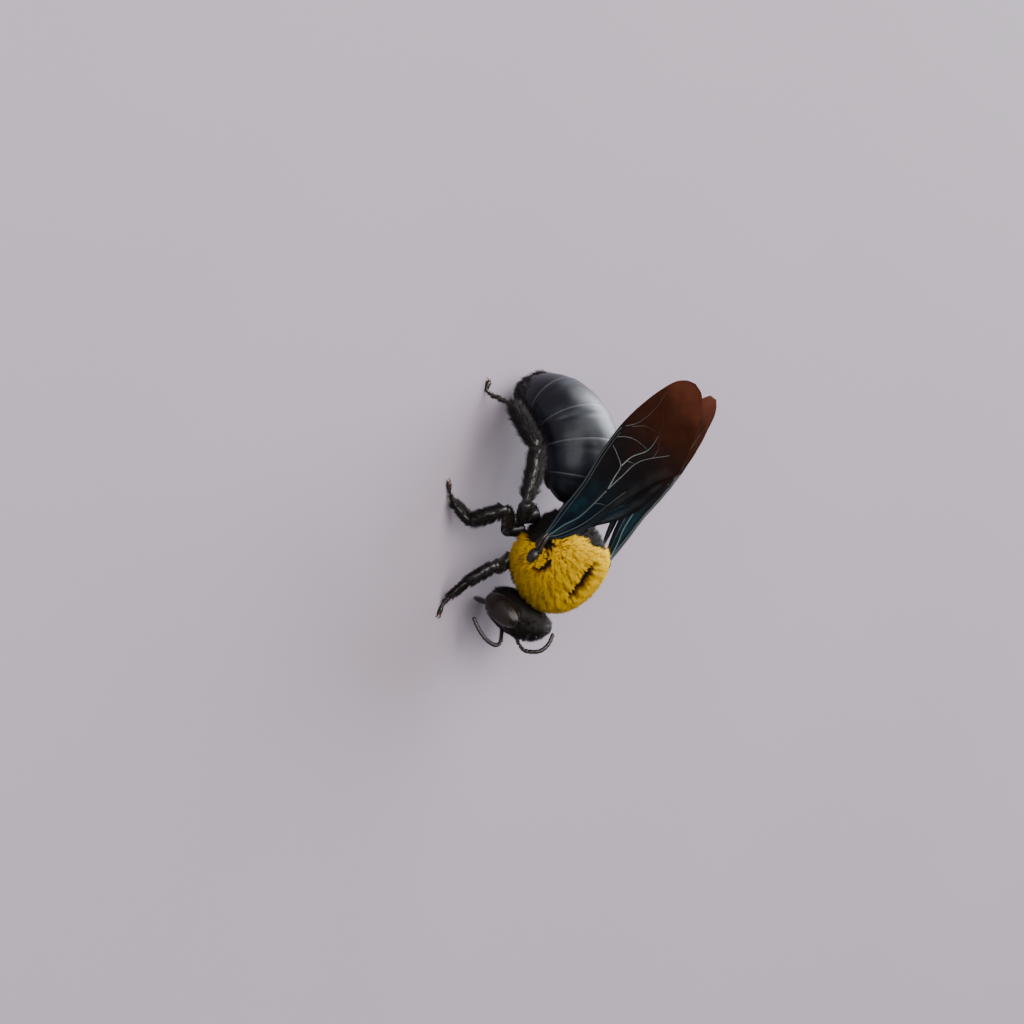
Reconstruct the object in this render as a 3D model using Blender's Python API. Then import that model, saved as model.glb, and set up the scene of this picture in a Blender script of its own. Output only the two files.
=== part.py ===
"""A carpenter bee, life size: a female standing head low, her abdomen curled down behind her.

+Z is up, -Y is the way the bee faces and +X is her left. The origin is at the middle of the
underside. The solids give the outline of the living insect out to the tips of its coat.
"""
import math

import bmesh
import bpy
from mathutils import Matrix, Vector

MM = 0.001

# Body plan.
PITCH = math.radians(31.7)
TWIST = math.radians(-12.0)
THORAX_CENTRE = Vector((0.0, -4.32, 7.05)) * MM
THORAX_HALF_WIDTH = 4.75 * MM
THORAX_FRONT = 4.7 * MM
THORAX_REAR = 4.6 * MM
THORAX_TOP = 4.4 * MM
THORAX_BOTTOM = 4.0 * MM

# Head, in the head's own frame: x to the left, -y out of the face, z to the vertex.
NECK_TO_FACE = 6.05 * MM
HEAD_HALF_WIDTH = 3.45 * MM
HEAD_HALF_HEIGHT = 2.75 * MM
FACE_DEPTH = 1.95 * MM
NAPE_DEPTH = 1.45 * MM
JAW_TAPER = 0.24
EYE_CENTRE = Vector((2.95, 0.0, 0.3)) * MM
EYE_RADII = Vector((0.78, 1.12, 2.05)) * MM

# Abdomen: six rings along a spine that curls down and forward.
ABDOMEN_ROOT = Vector((0.0, 0.15, 7.6)) * MM
ABDOMEN_LENGTH = 14.0 * MM
ABDOMEN_START = math.radians(15.0)
ABDOMEN_CURL = math.radians(122.0)
EARLY_CURL = 0.6
ABDOMEN_HALF_HEIGHT = 3.3 * MM
ABDOMEN_FLATNESS = 1.36
BELLY_FLATNESS = 0.88
FULLEST = 0.42
RING_MARGINS = (0.02, 0.19, 0.379, 0.545, 0.727, 0.874, 1.0)
RING_STEP = 0.018
CUT = 0.12 * MM

# Wings.
WING_THICKNESS = 0.5 * MM
WING_ROOT = Vector((4.34, 2.06, 1.2)) * MM
FOREWING_LENGTH = 18.25 * MM
WING_GAP = 0.1 * MM

LEG_GAP = 0.08 * MM
FLOOR = 0.0
CURVE_STEPS = 6
RIGHT = -1
LEFT = 1

BODY = Matrix.Translation(THORAX_CENTRE) @ Matrix.Rotation(PITCH, 4, "X")
HEAD = BODY @ Matrix.Translation((0.0, -NECK_TO_FACE, 0.08 * MM))
# The thorax is turned a little about its own length, its left side up.
THORAX = BODY @ Matrix.Rotation(TWIST, 4, "Y")


def clear_scene():
    for obj in list(bpy.data.objects):
        bpy.data.objects.remove(obj, do_unlink=True)


def collection(name):
    group = bpy.data.collections.new(name)
    bpy.context.scene.collection.children.link(group)
    return group


def material(name, colour, roughness, metallic=0.0):
    mat = bpy.data.materials.new(name)
    mat.use_nodes = True
    shader = mat.node_tree.nodes["Principled BSDF"]
    shader.inputs["Base Color"].default_value = (*colour, 1.0)
    shader.inputs["Roughness"].default_value = roughness
    shader.inputs["Metallic"].default_value = metallic
    return mat


clear_scene()
PARTS = collection("carpenter_bee")
CUTTERS = collection("cutters")
CUTICLE = material("black cuticle", (0.012, 0.011, 0.013), 0.3)
PLATE = material("abdomen plate", (0.014, 0.014, 0.018), 0.22)
COAT = material("yellow coat", (0.66, 0.36, 0.01), 0.75)
EYE = material("compound eye", (0.02, 0.013, 0.012), 0.18)
WING = material("smoky wing", (0.035, 0.018, 0.014), 0.35)


def add(name, mesh, mat, place=None):
    obj = bpy.data.objects.new(name, mesh)
    obj.matrix_world = place or Matrix()
    mesh.materials.append(mat)
    mesh.shade_smooth()
    mesh.set_sharp_from_angle(angle=math.radians(50))
    PARTS.objects.link(obj)
    return obj


def as_mesh(name, bm):
    mesh = bpy.data.meshes.new(name)
    bm.to_mesh(mesh)
    bm.free()
    return mesh


def ball(name, shape, mat, place, around=24, rings=14):
    """A sphere whose every point is moved to where shape sends it."""
    bm = bmesh.new()
    bmesh.ops.create_uvsphere(bm, u_segments=around, v_segments=rings, radius=1.0)
    for vert in bm.verts:
        vert.co = shape(vert.co.copy())
    return add(name, as_mesh(name, bm), mat, place)


def ellipsoid(radii):
    return lambda p: Vector((p.x * radii.x, p.y * radii.y, p.z * radii.z))


def tube(name, points, radii, mat, place=None):
    """A rounded rod through a few points, with its own radius at each, welded into a mesh."""
    curve = bpy.data.curves.new(name, "CURVE")
    curve.dimensions = "3D"
    curve.bevel_depth = 1.0
    curve.bevel_resolution = 2
    curve.use_fill_caps = True
    spline = curve.splines.new("POLY")
    route, widths = smooth_route(points, radii)
    spline.points.add(len(route) - 1)
    for knot, point, width in zip(spline.points, route, widths):
        knot.co = (*point, 1.0)
        knot.radius = width
    guide = bpy.data.objects.new(name + "_guide", curve)
    CUTTERS.objects.link(guide)
    bpy.context.view_layer.update()
    evaluated = guide.evaluated_get(bpy.context.evaluated_depsgraph_get())
    bm = bmesh.new()
    bm.from_mesh(bpy.data.meshes.new_from_object(evaluated))
    bmesh.ops.remove_doubles(bm, verts=bm.verts, dist=0.001 * MM)
    bpy.data.objects.remove(guide)
    return add(name, as_mesh(name, bm), mat, place)


def smooth_route(points, radii):
    """Catmull-Rom points and radii between the given ones, with both ends rounded off."""
    steps = 1 if straight(points) else 2
    ends = [points[0] * 2 - points[1], *points, points[-1] * 2 - points[-2]]
    sizes = [radii[0], *radii, radii[-1]]
    route = []
    widths = []
    for i in range(1, len(ends) - 2):
        for k in range(steps):
            t = k / steps
            route.append(catmull(ends[i - 1:i + 3], t))
            widths.append(sizes[i] + (sizes[i + 1] - sizes[i]) * t)
    route.append(points[-1])
    widths.append(radii[-1])
    return round_end(*round_end(route, widths), last=True)


def straight(points):
    reach = (points[-1] - points[0]).length
    return reach > 0.999 * sum((b - a).length for a, b in zip(points, points[1:]))


def catmull(four, t):
    a, b, c, d = four
    return 0.5 * (2 * b + (c - a) * t + (2 * a - 5 * b + 4 * c - d) * t * t
                  + (3 * b - a - 3 * c + d) * t ** 3)


def round_end(route, widths, last=False):
    """Slip a narrower ring in close to one end, so the rod closes in a blunt dome."""
    if last:
        route, widths = route[::-1], widths[::-1]
    inward = (route[1] - route[0]).normalized()
    step = min(widths[0] * 0.5, (route[1] - route[0]).length * 0.4)
    route = [route[0], route[0] + inward * step, *route[1:]]
    widths = [widths[0] * 0.6, widths[0], *widths[1:]]
    if last:
        route, widths = route[::-1], widths[::-1]
    return route, widths


def cut_by(obj, neighbour, gap):
    """Take a slightly larger copy of a neighbour out of a solid, which leaves a thin cut."""
    cutter = neighbour.copy()
    cutter.name = "cut_" + obj.name + "_" + neighbour.name
    for modifier in [m for m in cutter.modifiers if m.type == "BOOLEAN"]:
        cutter.modifiers.remove(modifier)
    grow = cutter.modifiers.new("gap", "DISPLACE")
    grow.mid_level = 0.0
    grow.strength = gap
    take_out(obj, cutter)


def take_out(obj, cutter):
    """All that is cut from one solid goes in one collection and one Boolean."""
    name = "cuts_" + obj.name
    group = bpy.data.collections.get(name)
    if group is None:
        group = bpy.data.collections.new(name)
        CUTTERS.children.link(group)
        boolean = obj.modifiers.new("cuts", "BOOLEAN")
        boolean.operation = "DIFFERENCE"
        boolean.solver = "EXACT"
        boolean.operand_type = "COLLECTION"
        boolean.collection = group
    cutter.hide_render = True
    cutter.display_type = "WIRE"
    group.objects.link(cutter)


def mirrored(point, side):
    return Vector((point.x * side, point.y, point.z))


def side_name(side):
    return "left" if side == LEFT else "right"


# Thorax: one dome from collar to scutellum, boxy in profile and round from above.
def thorax_shape(p):
    length = THORAX_REAR if p.y > 0 else THORAX_FRONT
    height = THORAX_TOP if p.z > 0 else THORAX_BOTTOM
    flank = math.hypot(p.y, p.z)
    boxy = (abs(p.y) ** 2.6 + abs(p.z) ** 2.6) ** (1 / 2.6)
    reach = 1.0 / math.sqrt(p.x ** 2 + boxy ** 2) if flank > 0 else 1.0
    q = p * reach
    narrow = 1 - 0.26 * max(q.y, 0.0) ** 2 - 0.2 * max(-q.y, 0.0) ** 2 - 0.3 * max(-q.z, 0.0) ** 2
    return Vector((q.x * THORAX_HALF_WIDTH * narrow, q.y * length, q.z * height))


def build_thorax():
    return ball("thorax", thorax_shape, COAT, THORAX, around=24, rings=14)


# Head: a broad lens, flat at the nape and narrower at the jaws, with an eye let into each side.
def head_shape(p):
    power = 2.5
    square = (abs(p.x) ** power + abs(p.z) ** power) ** (1 / power)
    reach = 1.0 / math.sqrt(p.y ** 2 + square ** 2)
    q = p * reach
    taper = 1 - JAW_TAPER * max(-q.z, 0.0) - 0.05 * max(q.z, 0.0)
    depth = NAPE_DEPTH if q.y > 0 else FACE_DEPTH
    return Vector((q.x * HEAD_HALF_WIDTH * taper, q.y * depth, q.z * HEAD_HALF_HEIGHT))


def build_head():
    head = ball("head", head_shape, CUTICLE, HEAD, around=24, rings=12)
    for side in (RIGHT, LEFT):
        place = HEAD @ Matrix.Translation(mirrored(EYE_CENTRE, side))
        eye = ball("eye_" + side_name(side), ellipsoid(EYE_RADII), EYE, place, around=14, rings=10)
        cut_by(head, eye, CUT)
    return head


def build_mandibles(head):
    """A short broad jaw on each side, its tips meeting under the face."""
    route = [Vector(p) * MM for p in ((1.7, -0.75, -2.05), (1.6, -1.0, -2.7),
                                      (1.1, -1.15, -3.15), (0.4, -1.1, -3.3))]
    radii = [0.6 * MM, 0.62 * MM, 0.48 * MM, 0.28 * MM]
    for side in (RIGHT, LEFT):
        points = [mirrored(p, side) for p in route]
        jaw = tube("mandible_" + side_name(side), points, radii, CUTICLE, HEAD)
        cut_by(head, jaw, CUT)


def build_antennae(head):
    """Each feeler is a straight scape and a bent flagellum; the left one is swung up and back."""
    thick = 0.27 * MM
    swings = {
        LEFT: ((0.9, -1.75, 0.1), (1.3, -2.3, 1.55), (1.5, -2.3, 2.3), (1.9, -1.6, 3.15),
               (2.4, -0.7, 3.2), (2.75, 0.3, 2.75)),
        RIGHT: ((-0.9, -1.75, 0.1), (-1.45, -2.6, 1.35), (-2.0, -2.95, 1.35), (-2.75, -2.95, 0.7),
                (-3.25, -2.6, -0.3), (-3.45, -2.1, -1.3)),
    }
    for side, swing in swings.items():
        points = [Vector(p) * MM for p in swing]
        elbow = points[1]
        bend = (points[2] - elbow).normalized()
        scape = tube("scape_" + side_name(side), [points[0], elbow], [thick, thick], CUTICLE, HEAD)
        start = elbow + bend * 0.1 * MM
        lash = [start, *points[2:]]
        radii = [thick] * (len(lash) - 1) + [thick * 0.9]
        flagellum = tube("flagellum_" + side_name(side), lash, radii, CUTICLE, HEAD)
        cut_by(scape, flagellum, LEG_GAP)
        cut_by(head, scape, CUT)


def build_tegulae(thorax):
    """The small scale over each wing root."""
    centre = Vector((4.3, -0.25, 1.2)) * MM
    radii = Vector((0.6, 0.85, 0.65)) * MM
    for side in (RIGHT, LEFT):
        place = THORAX @ Matrix.Translation(mirrored(centre, side))
        scale = ball("tegula_" + side_name(side), ellipsoid(radii), CUTICLE, place, around=12, rings=8)
        cut_by(thorax, scale, CUT)


# Abdomen.
def spine_heading(t):
    return ABDOMEN_START - ABDOMEN_CURL * (EARLY_CURL * t + (1 - EARLY_CURL) * t * t)


def spine_point(t, pieces=60):
    """The spine is followed from its root in short equal steps, each along the heading there."""
    point = ABDOMEN_ROOT.copy()
    step = ABDOMEN_LENGTH * t / pieces
    for i in range(pieces):
        heading = spine_heading(t * (i + 0.5) / pieces)
        point += Vector((0.0, math.cos(heading), math.sin(heading))) * step
    return point


def fullness(t):
    """Share of the abdomen's full height at a point along it: a steep front, a tapering rear."""
    if t < FULLEST:
        return math.sqrt(max(0.0, 1 - (1 - t / FULLEST) ** 4))
    return max(0.0, 1 - ((t - FULLEST) / (1 - FULLEST)) ** 2.4) ** 0.6


def abdomen_ring(bm, t, swell, around=24):
    centre = spine_point(t)
    heading = spine_heading(t)
    up = Vector((0.0, -math.sin(heading), math.cos(heading)))
    half = max(ABDOMEN_HALF_HEIGHT * fullness(t), 0.3 * MM) * swell
    ring = []
    for i in range(around):
        angle = math.tau * i / around
        lift = math.sin(angle)
        belly = BELLY_FLATNESS if lift < 0 else 1.0
        side = Vector((math.cos(angle) * half * ABDOMEN_FLATNESS, 0.0, 0.0))
        ring.append(bm.verts.new(centre + side + up * lift * half * belly))
    return ring


def abdomen_segment(number, start, end):
    """A loft between rings of the abdomen, each swelling a little towards its hind margin."""
    bm = bmesh.new()
    cut = CUT / ABDOMEN_LENGTH / 2
    steps = 4
    rings = []
    for i in range(steps + 1):
        part = i / steps
        t = start + cut + (end - start - 2 * cut) * part
        rings.append(abdomen_ring(bm, t, 1 - RING_STEP * (1 - part)))
    for front, back in zip(rings, rings[1:]):
        for a in range(len(front)):
            b = (a + 1) % len(front)
            bm.faces.new((front[a], front[b], back[b], back[a]))
    bm.faces.new(rings[0])
    bm.faces.new(reversed(rings[-1]))
    bmesh.ops.recalc_face_normals(bm, faces=bm.faces)
    name = "abdomen_" + str(number)
    return add(name, as_mesh(name, bm), PLATE)


def build_abdomen():
    margins = zip(RING_MARGINS, RING_MARGINS[1:])
    return [abdomen_segment(i + 1, start, end) for i, (start, end) in enumerate(margins)]


# Wings: flat plates folded back over the body, each outlined by a smooth loop through a few
# points given as shares of the forewing's length, along it and towards the hind margin.
FOREWING_OUTLINE = ((0.0, -0.028), (0.13, -0.048), (0.3, -0.069), (0.455, -0.106), (0.63, -0.132),
                    (0.79, -0.126), (0.925, -0.1), (0.986, -0.06), (1.009, -0.01), (0.983, 0.06),
                    (0.873, 0.143), (0.74, 0.207), (0.63, 0.232), (0.521, 0.19), (0.347, 0.146),
                    (0.153, 0.12), (0.03, 0.075), (0.0, 0.03))
HINDWING_OUTLINE = ((0.02, 0.045), (0.185, 0.078), (0.401, 0.13), (0.564, 0.171), (0.674, 0.208),
                    (0.691, 0.232), (0.608, 0.249), (0.455, 0.252), (0.325, 0.23), (0.239, 0.185),
                    (0.164, 0.136), (0.1, 0.107), (0.05, 0.08))
# The wings were not folded quite alike: where each points, and how steeply its blade leans.
WING_AIM = {RIGHT: Vector((1.99, 14.88, 11.08)), LEFT: Vector((8.08, 16.19, 3.64))}
WING_LEAN = {RIGHT: math.radians(50.0), LEFT: 0.0}


def wing_frame(side):
    """Axes of a wing: x from root to tip, y towards the hind margin, z out of its upper face."""
    root = THORAX @ mirrored(WING_ROOT, side)
    along = WING_AIM[side].normalized()
    inward = Vector((-side, 0.0, 0.0))
    flat = (inward - along * inward.dot(along)).normalized()
    raised = along.cross(Vector((1.0, 0.0, 0.0))).normalized() * -1
    lean = WING_LEAN[side]
    chord = flat * math.cos(lean) + (raised - along * raised.dot(along)) * math.sin(lean)
    chord.normalize()
    face = along.cross(chord) * side
    turn = Matrix((along, chord, along.cross(chord))).transposed().to_4x4()
    return Matrix.Translation(root) @ turn, face


def wing_plate(name, outline, side, drop):
    """A flat outline filled and extruded, set a little below the wing's own plane by drop."""
    curve = bpy.data.curves.new(name, "CURVE")
    curve.dimensions = "2D"
    curve.fill_mode = "BOTH"
    curve.extrude = WING_THICKNESS / 2
    curve.resolution_u = 3
    spline = curve.splines.new("BEZIER")
    spline.bezier_points.add(len(outline) - 1)
    for knot, (u, v) in zip(spline.bezier_points, outline):
        knot.co = (u * FOREWING_LENGTH, v * FOREWING_LENGTH, 0.0)
        knot.handle_left_type = "AUTO"
        knot.handle_right_type = "AUTO"
    spline.use_cyclic_u = True
    guide = bpy.data.objects.new(name + "_guide", curve)
    CUTTERS.objects.link(guide)
    bpy.context.view_layer.update()
    evaluated = guide.evaluated_get(bpy.context.evaluated_depsgraph_get())
    bm = bmesh.new()
    bm.from_mesh(bpy.data.meshes.new_from_object(evaluated))
    bmesh.ops.remove_doubles(bm, verts=bm.verts, dist=0.001 * MM)
    bmesh.ops.recalc_face_normals(bm, faces=bm.faces)
    bpy.data.objects.remove(guide)
    place, face = wing_frame(side)
    place = Matrix.Translation(-face * drop) @ place
    return add(name, as_mesh(name, bm), WING, place)


def build_wings(below):
    """The wings are cut from whatever lies under their roots."""
    for side in (RIGHT, LEFT):
        forewing = wing_plate("forewing_" + side_name(side), FOREWING_OUTLINE, side, 0.0)
        under = WING_THICKNESS + WING_GAP
        hindwing = wing_plate("hindwing_" + side_name(side), HINDWING_OUTLINE, side, under)
        for solid in below:
            cut_by(solid, forewing, CUT)
            cut_by(solid, hindwing, CUT)


# Legs: joints of a right leg from its root to its toe, and each length's radii and breadth.
LEG_JOINTS = {
    "front": ((-1.4, -4.9, 3.5), (-2.2, -5.9, 2.9), (-5.1, -6.0, 4.0), (-6.0, -7.9, 2.0),
              (-6.4, -9.4, 0.75), (-6.7, -11.0, 0.2)),
    "mid": ((-1.8, -2.3, 4.2), (-2.9, -2.7, 3.3), (-6.4, -1.1, 5.0), (-7.4, -2.7, 2.2),
            (-8.2, -1.3, 0.75), (-8.9, 0.3, 0.2)),
    "hind": ((-1.9, -0.8, 5.4), (-2.9, -1.4, 4.6), (-6.3, -0.5, 6.7), (-5.6, 4.5, 6.6),
             (-5.2, 7.96, 3.3), (-5.0, 9.8, 0.2)),
}
LEG_LENGTHS = ("coxa", "femur", "tibia", "basitarsus", "foot")
LEG_RADII = {
    "front": ((0.8, 0.6), (0.62, 0.72, 0.5), (0.5, 0.62, 0.55), (0.5, 0.45, 0.38), (0.34, 0.3, 0.22)),
    "mid": ((0.85, 0.62), (0.62, 0.75, 0.52), (0.55, 0.78, 0.7), (0.65, 0.6, 0.42), (0.36, 0.32, 0.24)),
    "hind": ((0.95, 0.7), (0.68, 0.82, 0.6), (0.62, 0.95, 1.0), (0.95, 0.98, 0.6), (0.4, 0.34, 0.26)),
}
FOOT_FORWARD = {"front": 0.4, "mid": -0.5, "hind": 0.3}


def leg_points(pair, side):
    """The left leg is the right one mirrored, with its foot set down slightly differently."""
    points = [Vector(p) * MM for p in LEG_JOINTS[pair]]
    if side == RIGHT:
        return points
    shift = Vector((0.0, FOOT_FORWARD[pair] * MM, 0.0))
    ease = (0.0, 0.0, 0.3, 0.7, 1.0, 1.0)
    return [mirrored(p, LEFT * -1) + shift * share for p, share in zip(points, ease)]


def build_leg(pair, side, thorax, floor):
    joints = leg_points(pair, side)
    pieces = []
    for i, length in enumerate(LEG_LENGTHS):
        name = length + "_" + pair + "_" + side_name(side)
        radii = [r * MM for r in LEG_RADII[pair][i]]
        start, end = joints[i], joints[i + 1]
        points = [start.lerp(end, k / (len(radii) - 1)) for k in range(len(radii))]
        if length == "foot":
            points = toe_route(start, end)
            radii = [radii[0], radii[1], radii[2], radii[2]]
        pieces.append(tube(name, points, radii, CUTICLE))
    for near, far in zip(pieces, pieces[1:]):
        cut_by(near, far, LEG_GAP)
    cut_by(thorax, pieces[0], CUT)
    take_out(pieces[-1], floor)


def toe_route(start, end):
    """The last tarsal joints come down and run on along the floor to the claws."""
    toe = 0.9 * MM
    along = Vector((end.x - start.x, end.y - start.y, 0.0)).normalized()
    heel = end - along * toe
    return [start, start.lerp(heel, 0.55), heel + Vector((0.0, 0.0, 0.1 * MM)), end]


def floor_cutter():
    """A box whose top is the floor, so that every foot ends in a small flat at one level."""
    bm = bmesh.new()
    bmesh.ops.create_cube(bm, size=40 * MM)
    floor = bpy.data.objects.new("floor_cut", as_mesh("floor_cut", bm))
    floor.location.z = FLOOR - 20 * MM
    return floor


def centre_on_floor(objects):
    """Hang every piece on one empty and move it so the origin is under the middle of the bee."""
    bpy.context.view_layer.update()
    graph = bpy.context.evaluated_depsgraph_get()
    corners = []
    for obj in objects:
        done = obj.evaluated_get(graph)
        corners += [done.matrix_world @ v.co for v in done.data.vertices]
    middle = Vector((0.0, 0.0, 0.0))
    for axis in (0, 1):
        values = [c[axis] for c in corners]
        middle[axis] = (min(values) + max(values)) / 2
    empty = bpy.data.objects.new("bee", None)
    PARTS.objects.link(empty)
    for obj in [*objects, *CUTTERS.all_objects]:
        obj.parent = empty
    empty.location = -middle


def build():
    thorax = build_thorax()
    head = build_head()
    build_mandibles(head)
    build_antennae(head)
    cut_by(thorax, head, CUT)
    build_tegulae(thorax)
    rings = build_abdomen()
    build_wings([thorax, *rings[:2]])
    floor = floor_cutter()
    for pair in LEG_JOINTS:
        for side in (RIGHT, LEFT):
            build_leg(pair, side, thorax, floor)
    centre_on_floor([obj for obj in PARTS.objects if obj.type == "MESH"])


build()
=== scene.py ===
"""A female carpenter bee, life size: shell, eyes, wings, legs and hair, dressed over its solids."""
import math

import bmesh
import bpy
import numpy as np
from mathutils import Matrix, Vector


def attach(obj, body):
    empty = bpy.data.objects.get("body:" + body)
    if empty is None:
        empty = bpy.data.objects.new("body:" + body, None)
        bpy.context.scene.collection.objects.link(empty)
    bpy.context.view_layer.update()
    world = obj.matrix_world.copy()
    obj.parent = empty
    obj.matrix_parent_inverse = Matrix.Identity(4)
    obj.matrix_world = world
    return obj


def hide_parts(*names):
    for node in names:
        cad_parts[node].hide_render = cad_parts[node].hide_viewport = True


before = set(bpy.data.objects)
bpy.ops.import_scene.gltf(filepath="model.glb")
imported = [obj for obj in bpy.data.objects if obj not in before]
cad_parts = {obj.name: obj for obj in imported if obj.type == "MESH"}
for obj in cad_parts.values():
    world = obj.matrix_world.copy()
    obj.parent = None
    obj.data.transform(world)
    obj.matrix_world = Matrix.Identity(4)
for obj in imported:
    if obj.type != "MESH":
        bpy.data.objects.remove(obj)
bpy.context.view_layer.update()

# Thorax shell. The middle of the body is one hard black box that carries the wings and legs.
# It stands inside its coat by the depth of the pile, and its back has a bare line down the
# middle. It is turned a little about its own length, its left side up.
MM = 0.001
PLAN = Vector((-1.9862, 0.1661, 0.0))
RIGHT = -1
LEFT = 1
SIDES = {"right": RIGHT, "left": LEFT}
ABOVE_FLOOR = 0.005
PITCH = math.radians(31.7)
TWIST = math.radians(-12.0)
THORAX_HALF_WIDTH = 4.75
THORAX_FRONT = 4.7
THORAX_REAR = 4.6
THORAX_TOP = 4.4
THORAX_BOTTOM = 4.0
BOXINESS = 2.6
NARROW_REAR = 0.26
NARROW_FRONT = 0.2
NARROW_BELOW = 0.3
PILE = 0.85
BARE_MIDDLE = 0.2
BARE_HALF_LENGTH = 2.5
BARE_HALF_WIDTH = 0.84
CREASE_MIDDLE = (-0.14, 1.5)
CREASE_RADIUS = 1.25
CREASE_WIDTH = 0.26
FLANK = 2.5
HAIRLESS_ROOT = (1.5, 1.4)
TEGULA = Vector((4.3, -0.25, 1.2))
BODY = Matrix.Translation(PLAN + Vector((0.0, -4.32, 7.05))) @ Matrix.Rotation(PITCH, 4, "X")
THORAX = BODY @ Matrix.Rotation(TWIST, 4, "Y")


def unit(v):
    return v / np.maximum(np.linalg.norm(v, axis=-1, keepdims=True), 1e-9)


def placed(matrix, points):
    """Points of a piece's own frame, moved to the model's."""
    turn = np.array(matrix.to_3x3())
    return np.asarray(points, float) @ turn.T + np.array(matrix.translation)


def mirrored(point, side):
    return Vector((point[0] * side, point[1], point[2]))


def smooth(low, high, x):
    """0 below low, 1 above high and an even slope between them."""
    t = np.clip((x - low) / (high - low), 0.0, 1.0)
    return t * t * (3 - 2 * t)


def ridge(x, middle, width):
    """1 at middle, falling to nothing on both sides of it."""
    return np.exp(-((x - middle) / width) ** 2)


def circle(count):
    """Even angles once round."""
    return np.linspace(0, math.tau, count, endpoint=False)


class Shade:
    """One socket of a material. Sums on it add Math nodes, and node() adds any other."""

    def __init__(self, tree, socket=None):
        self.tree = tree
        self.socket = socket

    def node(self, kind, settings, inputs, out=0):
        made = self.tree.nodes.new("ShaderNode" + kind)
        for key, value in settings.items():
            setattr(made, key, value)
        for key, value in inputs.items():
            if isinstance(value, Shade):
                self.tree.links.new(value.socket, made.inputs[key])
            else:
                made.inputs[key].default_value = value
        return Shade(self.tree, made.outputs[out])

    def sum(self, operation, first, second):
        return self.node("Math", {"operation": operation}, {0: first, 1: second})

    def __add__(self, other):
        return self.sum("ADD", self, other)

    def __sub__(self, other):
        return self.sum("SUBTRACT", self, other)

    def __rsub__(self, other):
        return self.sum("SUBTRACT", other, self)

    def __mul__(self, other):
        return self.sum("MULTIPLY", self, other)

    def between(self, low, high):
        """0 at low and 1 at high, held inside them."""
        inputs = {"Value": self, "From Min": low, "From Max": high}
        return self.node("MapRange", {"interpolation_type": "SMOOTHSTEP"}, inputs)

    def mix(self, first, second):
        """first where this is 0 and second where it is 1, both colours."""
        first = first if isinstance(first, Shade) else (*first, 1.0)
        second = second if isinstance(second, Shade) else (*second, 1.0)
        settings = {"data_type": "RGBA"}
        return self.node("Mix", settings, {0: self, 6: first, 7: second}, out=2)


def finish(name, fixed):
    """A material with its constant sockets set, and a Shade to mix the rest from."""
    made = bpy.data.materials.new(name)
    made.use_nodes = True
    shader = made.node_tree.nodes["Principled BSDF"]
    for key, value in fixed.items():
        shader.inputs[key].default_value = value
    return made, Shade(made.node_tree)


def feed(paint, links):
    shader = paint.tree.nodes["Principled BSDF"]
    for key, value in links.items():
        paint.tree.links.new(value.socket, shader.inputs[key])


def mark(paint, name):
    """A value that the mesh carries at its points."""
    return paint.node("Attribute", {"attribute_name": name}, {}, out=2)


def texture(paint, kind, settings, scale, inputs):
    """A texture over the piece at a scale given in millimetres."""
    place = paint.node("TexCoord", {}, {}, out=3)
    inputs = {"Vector": place, "Scale": 1.0 / (scale * MM), **inputs}
    return paint.node(kind, settings, inputs)


def spots(paint, scale, detail=2.0):
    """Soft noise over the piece."""
    return texture(paint, "TexNoise", {"noise_dimensions": "3D"}, scale, {"Detail": detail})


def bumped(paint, height, distance, strength=0.6):
    inputs = {"Height": height, "Distance": distance * MM, "Strength": strength}
    return paint.node("Bump", {}, inputs)


def pitted(paint, scale, depth, grain, distance):
    """Small round punctures in a shell, with a finer grain between them."""
    near = texture(paint, "TexVoronoi", {"feature": "F1"}, scale, {})
    return bumped(paint, near.between(0.0, 0.45) * depth + grain * 0.5, distance)


class Sheet:
    """Rings of points that a shell is skinned over and hair is set in, with their marks."""

    def __init__(self, rings):
        self.rings = np.asarray(rings, float)
        along = np.gradient(self.rings, axis=0)
        across = np.roll(self.rings, -1, 1) - np.roll(self.rings, 1, 1)
        normal = np.cross(across, along)
        middle = self.rings.mean(1, keepdims=True)
        if np.sum(normal * (self.rings - middle)) < 0:
            normal = -normal
        self.out = unit(normal)
        self.along = unit(along)
        self.area = np.linalg.norm(normal, axis=2)
        self.strip = (0.0, 1.0)
        self.marks = {}

    def marked(self, **marks):
        """The sheet with values for its points, given for each ring or for each point."""
        for key, value in marks.items():
            value = value[:, None] if np.ndim(value) == 1 else value
            self.marks[key] = np.broadcast_to(value, self.area.shape)
        return self

    def bed(self, count, weight, seed):
        """Roots spread by area and weight: root, way out, way along and unwrap place of each."""
        rng = np.random.default_rng(seed)
        rows, around = self.area.shape
        chance = (self.area * weight)[:-1]
        cell = rng.choice(chance.size, count, p=(chance / chance.sum()).ravel())
        i, j = np.divmod(cell, around)
        a, b = rng.random((2, count, 1))
        k = (j + 1) % around

        def blend(field):
            near = field[i, j] * (1 - b) + field[i, k] * b
            return near * (1 - a) + (field[i + 1, j] * (1 - b) + field[i + 1, k] * b) * a

        low, high = self.strip
        up = low + (high - low) * (i[:, None] + a) / (rows - 1)
        place = np.hstack([(j[:, None] + b) / around, up])
        return blend(self.rings), unit(blend(self.out)), unit(blend(self.along)), place


def dress(piece, finish_made, slot, *nodes):
    """Every piece rides on the one body, takes a finish, and may stand for solids."""
    piece.data.materials.append(finish_made)
    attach(piece, "root")
    if nodes:
        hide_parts(*nodes)


def linked(name, data):
    """A new object in the scene."""
    made = bpy.data.objects.new(name, data)
    bpy.context.scene.collection.objects.link(made)
    return made


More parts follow.
